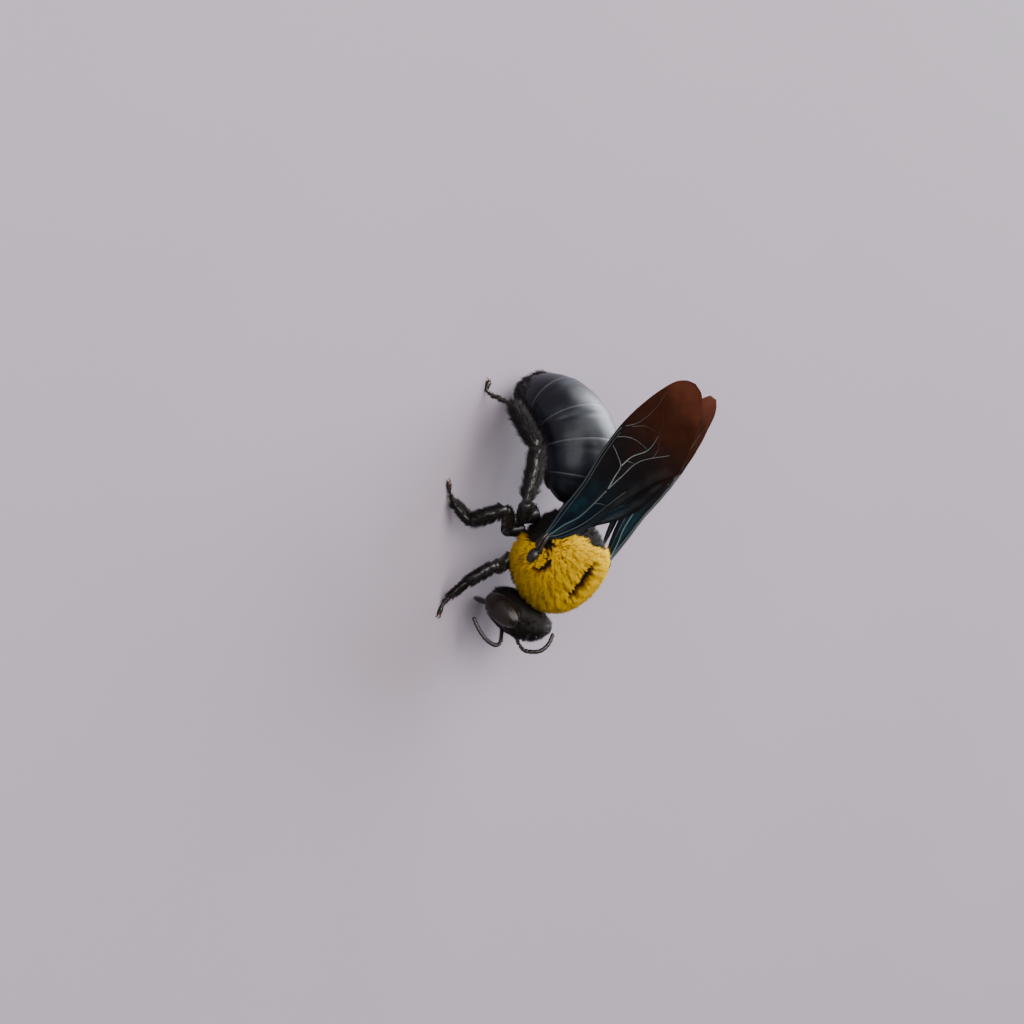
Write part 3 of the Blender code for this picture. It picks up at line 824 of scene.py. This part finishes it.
def girth(t):
    """Share of the abdomen's full height at a point along it."""
    front = np.sqrt(np.clip(1 - (1 - np.minimum(t, FULLEST) / FULLEST) ** 4, 0, 1))
    rear = np.clip(1 - np.clip((t - FULLEST) / (1 - FULLEST), 0, 1) ** 2.4, 0, 1) ** 0.6
    return np.where(t < FULLEST, front, rear)


def from_fold(turn):
    """The angle between a way round the abdomen and the nearer fold."""
    return np.minimum(np.abs(turn - FOLD_ANGLE - math.tau), np.abs(turn - math.pi + FOLD_ANGLE))


def abdomen_rings(t, swell):
    """Rings of the abdomen at shares t, each grown by swell, with the fold along each flank."""
    y, z = spine(t)
    heading = heading_at(t)
    turn = circle(AROUND)
    half = (np.maximum(ABDOMEN_HALF_HEIGHT * girth(t), 0.1) * swell)[:, None]
    lift = np.sin(turn)[None]
    half = half - FOLD_DEPTH * ridge(from_fold(turn), 0.0, 0.05)
    half = half - BELLY_STEP * smooth(0.0, 0.12, math.sin(FOLD_ANGLE) - lift)
    x = np.cos(turn)[None] * half * ABDOMEN_FLATNESS
    up = lift * half * np.where(lift < 0, BELLY_FLATNESS, 1.0)
    y = y[:, None] - np.sin(heading)[:, None] * up
    z = z[:, None] + np.cos(heading)[:, None] * up
    return np.stack([x, y, z], axis=-1)


plate, paint = finish("polished plate", {
    "Specular IOR Level": 0.16, "Specular Tint": (0.80, 0.87, 1.0, 1.0), "Coat Weight": 0.12,
    "Coat Roughness": 0.3, "Coat Tint": (0.9, 0.94, 1.0, 1.0)})
bloom = spots(paint, 2.2, 3.0)
# Each plate's hind margin is painted paler: partly the rim's own paler shell, partly a painted
# highlight along its lip.
edge = mark(paint, "margin")
tint = bloom.between(0.3, 0.75).mix((0.0035, 0.0035, 0.005), (0.008, 0.009, 0.015))
feed(paint, {"Base Color": edge.mix(tint, (0.045, 0.043, 0.050)),
             "Roughness": bloom.between(0.2, 0.8) * 0.12 + 0.38 - edge * 0.12,
             "Normal": pitted(paint, 0.10, 0.6, spots(paint, 0.07), 0.016)})

plates = []
for number, (start, end) in enumerate(zip(RING_MARGINS, RING_MARGINS[1:])):
    front = start - (TUCK if number else 0.0)
    last = end == RING_MARGINS[-1]
    t = front + (end - front) * np.linspace(0, 1, 40) ** 0.9
    s = (t - front) / (end - front)
    swell = 0.952 + 0.03 * smooth(0.0, 0.45, s) + 0.012 * smooth(0.6, 0.95, s)
    swell -= 0.010 * ridge(s, 0.78, 0.07)
    if not last:
        t = np.concatenate([t, end + np.array(RIM_REACHES)])
        swell = np.concatenate([swell, RIM_SWELLS])
    # The margin mark sets where the paler rim and its painted highlight go.
    margin = smooth(0.95, 1.0, (t - front) / (end - front)) * (0.0 if last else 1.0)
    sheet = Sheet(abdomen_rings(t, swell) + np.array(PLAN)).marked(margin=margin)
    ring = skin(f"abdomen_ring_{number + 1}", [sheet])
    dress(ring, plate, "abdomen plate", f"abdomen_{number + 1}")
    plates.append((sheet, t))

stalk = rod(route(WAIST, 12) + np.array(PLAN), through((1.1, 0.8, 1.2), 12), around=24,
            up=(1.0, 0.0, 0.0))
black_piece("waist", [stalk])

# Hair of the abdomen. Stiff black fringes down both flanks, a little on the belly, and a
# denser brush round the tip; the polished backs of the plates are bare.
for number, (sheet, t) in enumerate(plates):
    turn = circle(AROUND)[None]
    fringe = ridge(from_fold(turn), 0.0, 0.2) + 0.25 * (np.sin(turn) < math.sin(FOLD_ANGLE))
    shown = smooth(0.3, 0.5, (t - t[0]) / (t.max() - t[0]))[:, None]
    brush = smooth(0.80, 0.97, t)[:, None] * 0.8
    weight = (fringe + brush) * shown + 1e-5
    root, out, along, place = sheet.bed(260 + 90 * number, weight, 61 + number)
    black_coat(f"abdomen_hair_{number + 1}", root, unit(out * 0.6 + along * 0.9), place,
               0.45 + 0.05 * number, 71 + number, hairs=7, spread=0.09, width=0.028, gather=0.3)

# Wings. Two pairs of stiff smoky film on a frame of hollow veins, the hind pair hooked under
# the fore pair. The film is pleated between the veins, blue-black with a painted green sheen
# near the body, and reddish brown and clearer towards the tips.
WING_ROOT = Vector((4.34, 2.06, 1.2))
FOREWING_LENGTH = 18.25
HIND_DROP = 0.6
FILM = 0.05
FILM_ROWS = 110
FILM_COLUMNS = 50
WING_AIM = {RIGHT: Vector((1.99, 14.88, 11.08)), LEFT: Vector((8.08, 16.19, 3.64))}
WING_LEAN = {RIGHT: math.radians(50.0), LEFT: 0.0}
FORE_FRONT = ((-0.05, -0.01), (0.0, -0.024), (0.13, -0.044), (0.3, -0.065), (0.455, -0.102),
              (0.63, -0.128), (0.79, -0.122), (0.925, -0.096), (0.984, -0.056), (1.005, -0.008))
FORE_REAR = ((-0.05, 0.012), (0.0, 0.03), (0.03, 0.06), (0.153, 0.115), (0.347, 0.142),
             (0.521, 0.186), (0.63, 0.228), (0.74, 0.203), (0.873, 0.139), (0.979, 0.058),
             (1.005, -0.008))
HIND_FRONT = ((0.02, 0.047), (0.185, 0.081), (0.401, 0.133), (0.564, 0.174), (0.66, 0.208),
              (0.687, 0.232))
HIND_REAR = ((0.05, 0.076), (0.1, 0.103), (0.164, 0.132), (0.239, 0.181), (0.325, 0.226),
             (0.455, 0.248), (0.608, 0.245), (0.687, 0.232))
# Veins as shares along the wing and from its front edge to its rear edge; then how thick each
# is at its two ends, and how strongly it is painted with pale glints and sheen.
FORE_VEINS = (
    (((-0.04, 0.3), (0.13, 0.05), (0.3, 0.03), (0.5, 0.02), (0.64, 0.03)), 0.2, 0.13, 0.1),
    (((-0.04, 0.35), (0.15, 0.16), (0.32, 0.10), (0.5, 0.07), (0.62, 0.06)), 0.13, 0.09, 0.15),
    (((-0.04, 0.5), (0.1, 0.45), (0.195, 0.565), (0.3, 0.58), (0.377, 0.576)), 0.18, 0.13, 0.9),
    (((0.377, 0.576), (0.44, 0.50), (0.495, 0.438), (0.525, 0.25), (0.545, 0.08)), 0.13, 0.06, 0.9),
    (((0.495, 0.438), (0.56, 0.45), (0.634, 0.515), (0.72, 0.49)), 0.13, 0.08, 0.9),
    (((0.64, 0.05), (0.70, 0.16), (0.80, 0.19), (0.90, 0.10)), 0.09, 0.06, 0.2),
    (((0.58, 0.06), (0.61, 0.16), (0.63, 0.30), (0.634, 0.515)), 0.08, 0.06, 0.4),
    (((0.66, 0.12), (0.70, 0.24), (0.715, 0.36), (0.72, 0.49)), 0.07, 0.05, 0.2),
    (((0.72, 0.49), (0.77, 0.44), (0.80, 0.34), (0.80, 0.19)), 0.06, 0.05, 0.2),
    (((0.377, 0.576), (0.466, 0.58), (0.548, 0.57), (0.62, 0.636), (0.689, 0.80)), 0.12, 0.07, 0.6),
    (((0.53, 0.44), (0.54, 0.50), (0.548, 0.57)), 0.07, 0.06, 0.5),
    (((-0.02, 0.6), (0.12, 0.76), (0.28, 0.84), (0.44, 0.87)), 0.13, 0.07, 0.2),
    (((0.29, 0.58), (0.31, 0.70), (0.32, 0.845)), 0.08, 0.06, 0.2),
    (((0.62, 0.636), (0.67, 0.60), (0.72, 0.49)), 0.07, 0.05, 0.2),
)
HIND_VEINS = (
    (((0.02, 0.1), (0.3, 0.06), (0.6, 0.05), (0.92, 0.08)), 0.11, 0.06, 0.2),
    (((0.02, 0.4), (0.25, 0.42), (0.45, 0.4), (0.62, 0.3)), 0.08, 0.05, 0.2),
    (((0.62, 0.3), (0.75, 0.35), (0.9, 0.45)), 0.05, 0.04, 0.2),
    (((0.45, 0.4), (0.52, 0.55), (0.68, 0.66), (0.85, 0.7)), 0.06, 0.04, 0.2),
    (((0.02, 0.6), (0.2, 0.7), (0.38, 0.78)), 0.07, 0.05, 0.2),
)


def edge_at(points, share):
    """A wing edge as a smooth line through points, read at shares of its reach along the wing."""
    line = route([(*p, 0.0) for p in points], 240)
    return np.interp(share, line[:, 0], line[:, 0]), np.interp(share, line[:, 0], line[:, 1])


def wing_axes(side):
    """Axes of a wing: from root to tip, towards the rear edge, and out of its face."""
    along = WING_AIM[side].normalized()
    inward = Vector((-side, 0.0, 0.0))
    flat = (inward - along * inward.dot(along)).normalized()
    raised = along.cross(Vector((1.0, 0.0, 0.0))).normalized() * -1
    lean = WING_LEAN[side]
    chord = flat * math.cos(lean) + (raised - along * raised.dot(along)) * math.sin(lean)
    chord.normalize()
    turn = Matrix((along, chord, along.cross(chord))).transposed().to_4x4()
    return Matrix.Translation(THORAX @ mirrored(WING_ROOT, side)) @ turn


def film_point(front, rear, along_share, across_share, hind):
    """A point of the pleated film, in the wing's own frame, in millimetres."""
    share = front[0][0] + (front[-1][0] - front[0][0]) * along_share
    u_front, v_front = edge_at(front, share)
    u_rear, v_rear = edge_at(rear, np.maximum(share, rear[0][0]))
    u = u_front * (1 - across_share) + u_rear * across_share
    v = v_front * (1 - across_share) + v_rear * across_share
    calm = (1 - smooth(0.55, 1.0, along_share)) * smooth(0.0, 0.12, along_share)
    pleat = np.sin(across_share * (12.0 if hind else 16.0) + along_share * 2.0) * 0.05 * calm
    ripple = np.sin(u * 60 + np.sin(v * 40) * 2) * 0.012 + np.sin(u * 23 + v * 31) * 0.02
    sag = -0.10 * (across_share - 0.5) ** 2 * 4 + 0.05
    height = pleat + ripple * smooth(0.1, 0.5, along_share) + sag
    return np.stack([u * FOREWING_LENGTH, v * FOREWING_LENGTH, height], axis=-1)


def film_rings(front, rear, hind, thick):
    """The film as flat rings: out along its upper face and back along its lower one."""
    along_share = 1 - (1 - np.linspace(0, 1, FILM_ROWS)) ** 2
    along_share = along_share[:, None] * 0.9995
    across_share = (1 - np.cos(np.linspace(0, math.pi, FILM_COLUMNS)))[None, :] / 2
    sheet = film_point(front, rear, along_share, across_share * np.ones_like(along_share), hind)
    lower = sheet[:, ::-1].copy()
    sheet[..., 2] += thick / 2
    lower[..., 2] -= thick / 2
    return np.concatenate([sheet, lower], axis=1)


film, paint = finish("wing film", {"Roughness": 0.34, "Specular IOR Level": 0.04,
                                   "Coat Weight": 0.03, "Coat Roughness": 0.2})
reach = mark(paint, "reach")
fore = mark(paint, "fore")
cloud = spots(paint, 2.0, 3.0)
speck = spots(paint, 0.18, 2.0)
span = reach + (cloud - 0.5) * 0.3
inner = span.between(0.12, 0.5).mix((0.003, 0.0055, 0.0085), (0.0055, 0.0045, 0.005))
outer = span.between(0.5, 0.80).mix(inner, (0.022, 0.0065, 0.003))
tint = span.between(0.78, 1.0).mix(outer, (0.064, 0.018, 0.009))
# Painted sheen: a teal gloss in patches near the root, painted into the film's colour.
teal_sheen = span.between(0.05, 0.2) * (1 - span.between(0.25, 0.45)) * fore.between(0.2, 0.4)
teal_sheen = teal_sheen * (1 - fore.between(0.5, 0.8)) * cloud.between(0.4, 0.65)
tint = (teal_sheen * 0.45).mix(tint, (0.004, 0.030, 0.042))
clear = 0.99 - span.between(0.6, 1.0) * 0.03
height = speck * 0.6 + cloud * 0.4
normal = bumped(paint, height, 0.03, 0.5)
feed(paint, {"Base Color": tint, "Alpha": clear, "Normal": normal})

vein_shell, paint = finish("wing vein", {"Roughness": 0.34, "Coat Weight": 0.2})
cloud = spots(paint, 0.9)
reach = mark(paint, "reach")
pale = mark(paint, "pale")
# Veins are dark; where marked pale they get a painted teal sheen near the root and painted pale
# grey glints further out.
near = cloud.mix((0.010, 0.048, 0.058), (0.030, 0.080, 0.092))
mid = reach.between(0.2, 0.38).mix(near, cloud.mix((0.07, 0.08, 0.08), (0.20, 0.22, 0.21)))
mid = pale.mix((0.010, 0.016, 0.018), mid)
feed(paint, {"Base Color": reach.between(0.62, 0.75).mix(mid, (0.022, 0.009, 0.005))})

for which, side in SIDES.items():
    turn = wing_axes(side)
    for kind, front, rear, veins in (("fore", FORE_FRONT, FORE_REAR, FORE_VEINS),
                                     ("hind", HIND_FRONT, HIND_REAR, HIND_VEINS)):
        hind = kind == "hind"
        drop = np.array((0.0, 0.0, -HIND_DROP * side if hind else 0.0))
        rings = film_rings(front, rear, hind, FILM)
        fore = np.linspace(0, 1, FILM_COLUMNS)
        sheet = Sheet(placed(turn, rings + drop))
        sheet.marked(reach=rings[..., 0] / FOREWING_LENGTH,
                     fore=np.concatenate([fore, fore[::-1]])[None])
        wing = skin(f"{kind}wing_film_{which}", [sheet])
        dress(wing, film, "smoky wing", f"{kind}wing_{which}")
        ribs = []
        for line, thick, thin, pale in veins:
            path = route([(*p, 0.0) for p in line], 30)
            points = film_point(front, rear, path[:, 0], np.clip(path[:, 1], 0.0, 1.0), hind) + drop
            rib = rod(placed(turn, points), np.linspace(thick, thin, 30) * 0.5, around=8,
                      ends=(0.03, 0.03), up=tuple(turn.col[2][:3]))
            # The pale mark, fading along each vein, sets how much painted glint and sheen it gets.
            ribs.append(rib.marked(reach=points[:, 0] / FOREWING_LENGTH,
                                   pale=np.linspace(pale, pale * 0.35, 30)))
        dress(skin(f"{kind}wing_veins_{which}", ribs), vein_shell, "smoky wing")

# Legs. Each is a chain of black tubes on the underside of the thorax: a short hip, a small
# ring, a thick thigh, a shin with spurs at its end, and a foot of one long and four short
# joints. The hind shin and the long joint after it stand well inside their dense brush.
LEG_JOINTS = {
    "front": ((-1.4, -4.9, 3.5), (-2.2, -5.9, 2.9), (-5.1, -6.0, 4.0), (-6.0, -7.9, 2.0),
              (-6.4, -9.4, 0.75), (-6.7, -11.0, 0.2)),
    "mid": ((-1.8, -2.3, 4.2), (-2.9, -2.7, 3.3), (-6.4, -1.1, 5.0), (-7.4, -2.7, 2.2),
            (-8.2, -1.3, 0.75), (-8.9, 0.3, 0.2)),
    "hind": ((-1.9, -0.8, 5.4), (-2.9, -1.4, 4.6), (-6.3, -0.5, 6.7), (-5.6, 4.5, 6.6),
             (-5.2, 7.96, 3.3), (-5.0, 9.8, 0.2)),
}
SHELL_RADII = {
    "front": ((0.72, 0.52), (0.5, 0.6, 0.4), (0.38, 0.48, 0.42), (0.34, 0.33, 0.28), 0.2),
    "mid": ((0.76, 0.54), (0.54, 0.63, 0.42), (0.4, 0.56, 0.52), (0.42, 0.42, 0.32), 0.21),
    "hind": ((0.85, 0.62), (0.58, 0.70, 0.5), (0.44, 0.60, 0.62), (0.55, 0.58, 0.42), 0.24),
}
COAT_LENGTHS = {
    "front": (0.3, 0.25, 0.4, 0.35, 0.2),
    "mid": (0.3, 0.28, 0.55, 0.5, 0.22),
    "hind": (0.35, 0.35, 0.75, 0.85, 0.26),
}
COAT_TUFTS = {
    "front": (60, 260, 420, 300, 150),
    "mid": (60, 300, 520, 360, 150),
    "hind": (80, 340, 700, 700, 200),
}
LEG_NAMES = ("coxa", "femur", "tibia", "basitarsus", "foot")
FOOT_FORWARD = {"front": 0.4, "mid": -0.5, "hind": 0.3}
FOOT_EASE = (0.0, 0.0, 0.3, 0.7, 1.0, 1.0)
FOOT_REACH = 0.9
CLAW_REACH = 0.42
LEG_FLATNESS = (0.95, 0.84, 0.8, 0.7)
UP = Vector((0.0, 0.0, 1.0))


def leg_line(pair, side):
    """The six joints of a leg from hip to claws; the left leg's foot stands a little apart."""
    line = []
    for joint, ease in zip(LEG_JOINTS[pair], FOOT_EASE):
        if side == RIGHT:
            line.append(Vector(joint) + PLAN)
        else:
            shift = Vector((0.0, FOOT_FORWARD[pair] * ease, 0.0))
            line.append(mirrored(joint, -1) + shift + PLAN)
    return line


leg_shell = shell_finish("leg shell", {"Coat Roughness": 0.15, "Coat Weight": 0.3}, 0.6, 0.08,
                         ((0.0045, 0.0036, 0.0034), (0.012, 0.008, 0.0066)), 0.26, 0.11, 0.7,
                         0.018, end=(0.030, 0.013, 0.007))
claw_horn, paint = finish("claw", {"Roughness": 0.26, "Coat Weight": 0.4})
tip = mark(paint, "end")
brown = spots(paint, 0.15).mix((0.085, 0.034, 0.012), (0.13, 0.055, 0.02))
feed(paint, {"Base Color": tip.between(0.3, 1.0).mix(brown, (0.02, 0.009, 0.005))})

for pair in LEG_JOINTS:
    for which, side in SIDES.items():
        label = f"{pair}_{which}"
        line = leg_line(pair, side)
        tubes = []
        for k in range(4):
            start, end = line[k], line[k + 1]
            way = (end - start).normalized()
            bow = UP * (0.035 * (end - start).length) if k in (1, 2) else Vector()
            path = route([start - way * 0.12, start.lerp(end, 0.5) + bow, end + way * 0.12], 36)
            tube = rod(path, through(SHELL_RADII[pair][k], 36), around=28, flat=LEG_FLATNESS[k],
                       ends=(0.14, 0.12))
            tubes.append(tube.marked(end=smooth(0.6, 1.0, np.linspace(0, 1, 36)) * 0.35 * (k == 3)))
        start, end = line[4], line[5]
        level = Vector((end.x - start.x, end.y - start.y, 0.0)).normalized()
        heel = end - level * FOOT_REACH
        toes = [start, start.lerp(heel, 0.55), heel + UP * 0.1, end]
        rows = 80
        share = np.linspace(0, 1, rows)
        joint = np.interp(share, (0, 0.17, 0.34, 0.52, 1.0), (0, 1, 2, 3, 4))
        within = joint - np.minimum(joint.astype(int), 3)
        radius = SHELL_RADII[pair][4]
        swell = np.where(joint < 3, 0.62 + 0.5 * within ** 1.2, 0.5 + 0.42 * within ** 1.5) * radius
        swell *= 1 - 0.35 * ridge(within, 1.0, 0.06) * (joint < 3.5)
        toe = rod(route(toes, rows), swell, around=18, flat=0.8, ends=(0.04, 0.05))
        tubes.append(toe.marked(end=0.35 + 0.5 * share))
        hair_beds = tubes[:5]
        knob = route([line[1].lerp(line[0], 0.3), line[1], line[1].lerp(line[2], 0.2)], 12)
        knee = np.full(12, SHELL_RADII[pair][1][0] * 1.02)
        tubes.append(rod(knob, knee, around=24, ends=(0.4, 0.4)).marked(end=0.0))
        shin = (line[3] - line[2]).normalized()
        foot = (line[4] - line[3]).normalized()
        for spread in (-0.3, 0.3):
            root = line[3] - shin * 0.1 + Vector((0.0, spread, -0.1))
            bend = root + foot * 0.3 + Vector((0.0, spread * 0.6, -0.12))
            point = root + foot * 0.62 + Vector((0.0, spread * 0.8, -0.2))
            spur = route((root, bend, point), 12)
            spur = rod(spur, through((0.075, 0.06, 0.02), 12), around=8)
            tubes.append(spur.marked(end=0.7))
        shell = skin(f"leg_{label}", tubes)
        dress(shell, leg_shell, "black cuticle", *(f"{name}_{label}" for name in LEG_NAMES))

        claws = []
        across = Vector((-level.y, level.x, 0.0))
        for turn in (-1, 1):
            root = end - level * 0.05 + across * (0.06 * turn)
            bend = [root, root + level * 0.2 + across * (0.13 * turn) + UP * 0.06,
                    root + level * CLAW_REACH + across * (0.2 * turn)]
            bend[2].z = 0.03
            claw = rod(route(bend, 16), through((0.075, 0.06, 0.018), 16), around=10)
            tooth = [bend[1] - level * 0.04, bend[1] + level * 0.05 - UP * 0.15]
            tooth = rod(route(tooth, 8), through((0.045, 0.015), 8), around=8)
            claws += [horn.marked(end=np.linspace(0, 1, len(horn.rings))) for horn in (claw, tooth)]
        dress(skin(f"claws_{label}", claws), claw_horn, "black cuticle")

        beds = []
        for k, tube in enumerate(hair_beds):
            s = np.linspace(0, 1, len(tube.rings))[:, None]
            below = smooth(0.2, -0.6, tube.out[..., 2])
            weight = (0.5 + below + 0.8 * (pair == "hind" and k in (2, 3))) * smooth(0.0, 0.15, s)
            root, out, along, place = tube.bed(COAT_TUFTS[pair][k], weight, 81 + 10 * k)
            under = 1 + 0.25 * smooth(0.2, -0.6, out[:, 2]) * (k in (2, 3))
            way = unit(out * 0.62 + along * (0.8 if k < 4 else 1.1))
            beds.append((root, way, place, COAT_LENGTHS[pair][k] * under))
        bed = [np.concatenate(part) for part in zip(*beds)]
        black_coat(f"leg_hair_{label}", *bed, 97, hairs=8, spread=0.07, width=0.026, gather=0.3)

# Floor, lights and camera. A plain pale floor, lamps low on the bee's left and behind its tail
# that glance off the plates, two broad soft ones over its back and right side, and a room that
# darkens downwards.
FLOOR_HALF = 1.2
SIGHT = Vector((-0.86610623, -0.06477458, 0.49564528))
UPRIGHT = Vector((-0.13872774, 0.98376441, -0.11385165))
EYE_DISTANCE = 0.52
VIEW_WIDTH = 89.825 * MM
SENSOR = 36.0
AIM = (PLAN + Vector((0.0, -0.85, 1.82))) * MM
ROOM_LOW = (0.10, 0.095, 0.10)
ROOM_HIGH = (1.0, 0.99, 1.03)
ROOM_LIGHT = 0.3
LAMPS = (
    ("rim", (0.80, 0.55, 0.24), 0.75, 0.48, 11.5, (0.93, 0.965, 1.0)),
    ("tail", (0.40, 0.86, 0.32), 0.75, 0.42, 4.5, (0.95, 0.97, 1.0)),
    ("high", (-0.16, 0.42, 0.89), 0.65, 0.75, 7.6, (1.0, 0.98, 0.95)),
    ("front", (-0.84, 0.16, 0.52), 0.70, 0.60, 4.3, (1.0, 0.975, 0.94)),
)

floor_mesh = bpy.data.meshes.new("floor")
corners = ((-1, -1), (1, -1), (1, 1), (-1, 1))
corners = [(FLOOR_HALF * x, FLOOR_HALF * y, 0) for x, y in corners]
floor_mesh.from_pydata(corners, [], [(0, 1, 2, 3)])
floor = linked("floor", floor_mesh)
floor_finish, paint = finish("pale floor", {"Roughness": 0.75, "Specular IOR Level": 0.2})
tint = spots(paint, 40.0).mix((0.28, 0.238, 0.284), (0.295, 0.253, 0.30))
feed(paint, {"Base Color": tint})
floor.data.materials.append(floor_finish)

for label, way, distance, size, power, colour in LAMPS:
    lamp = bpy.data.lights.new(label, "AREA")
    lamp.shape = "DISK"
    lamp.size = size
    lamp.energy = power
    lamp.color = colour
    holder = linked(label, lamp)
    holder.location = AIM + Vector(way).normalized() * distance
    holder.rotation_euler = Vector(way).to_track_quat("Z", "Y").to_euler()

world = bpy.data.worlds.new("room")
world.use_nodes = True
room = Shade(world.node_tree)
way = room.node("TexCoord", {}, {}, out=0)
level = room.node("SeparateXYZ", {}, {0: way}, out=2)
dome = level.between(-0.1, 1.0).mix(ROOM_LOW, ROOM_HIGH)
background = world.node_tree.nodes["Background"]
world.node_tree.links.new(dome.socket, background.inputs["Color"])
background.inputs["Strength"].default_value = ROOM_LIGHT
bpy.context.scene.world = world

camera = bpy.data.cameras.new("camera")
camera.sensor_width = SENSOR
camera.lens = SENSOR * EYE_DISTANCE / VIEW_WIDTH
camera.clip_start = 0.01
eye = linked("camera", camera)
eye_turn = Matrix((UPRIGHT.cross(SIGHT), UPRIGHT, SIGHT)).transposed().to_4x4()
eye.matrix_world = Matrix.Translation(AIM + SIGHT * EYE_DISTANCE) @ eye_turn
bpy.context.scene.camera = eye
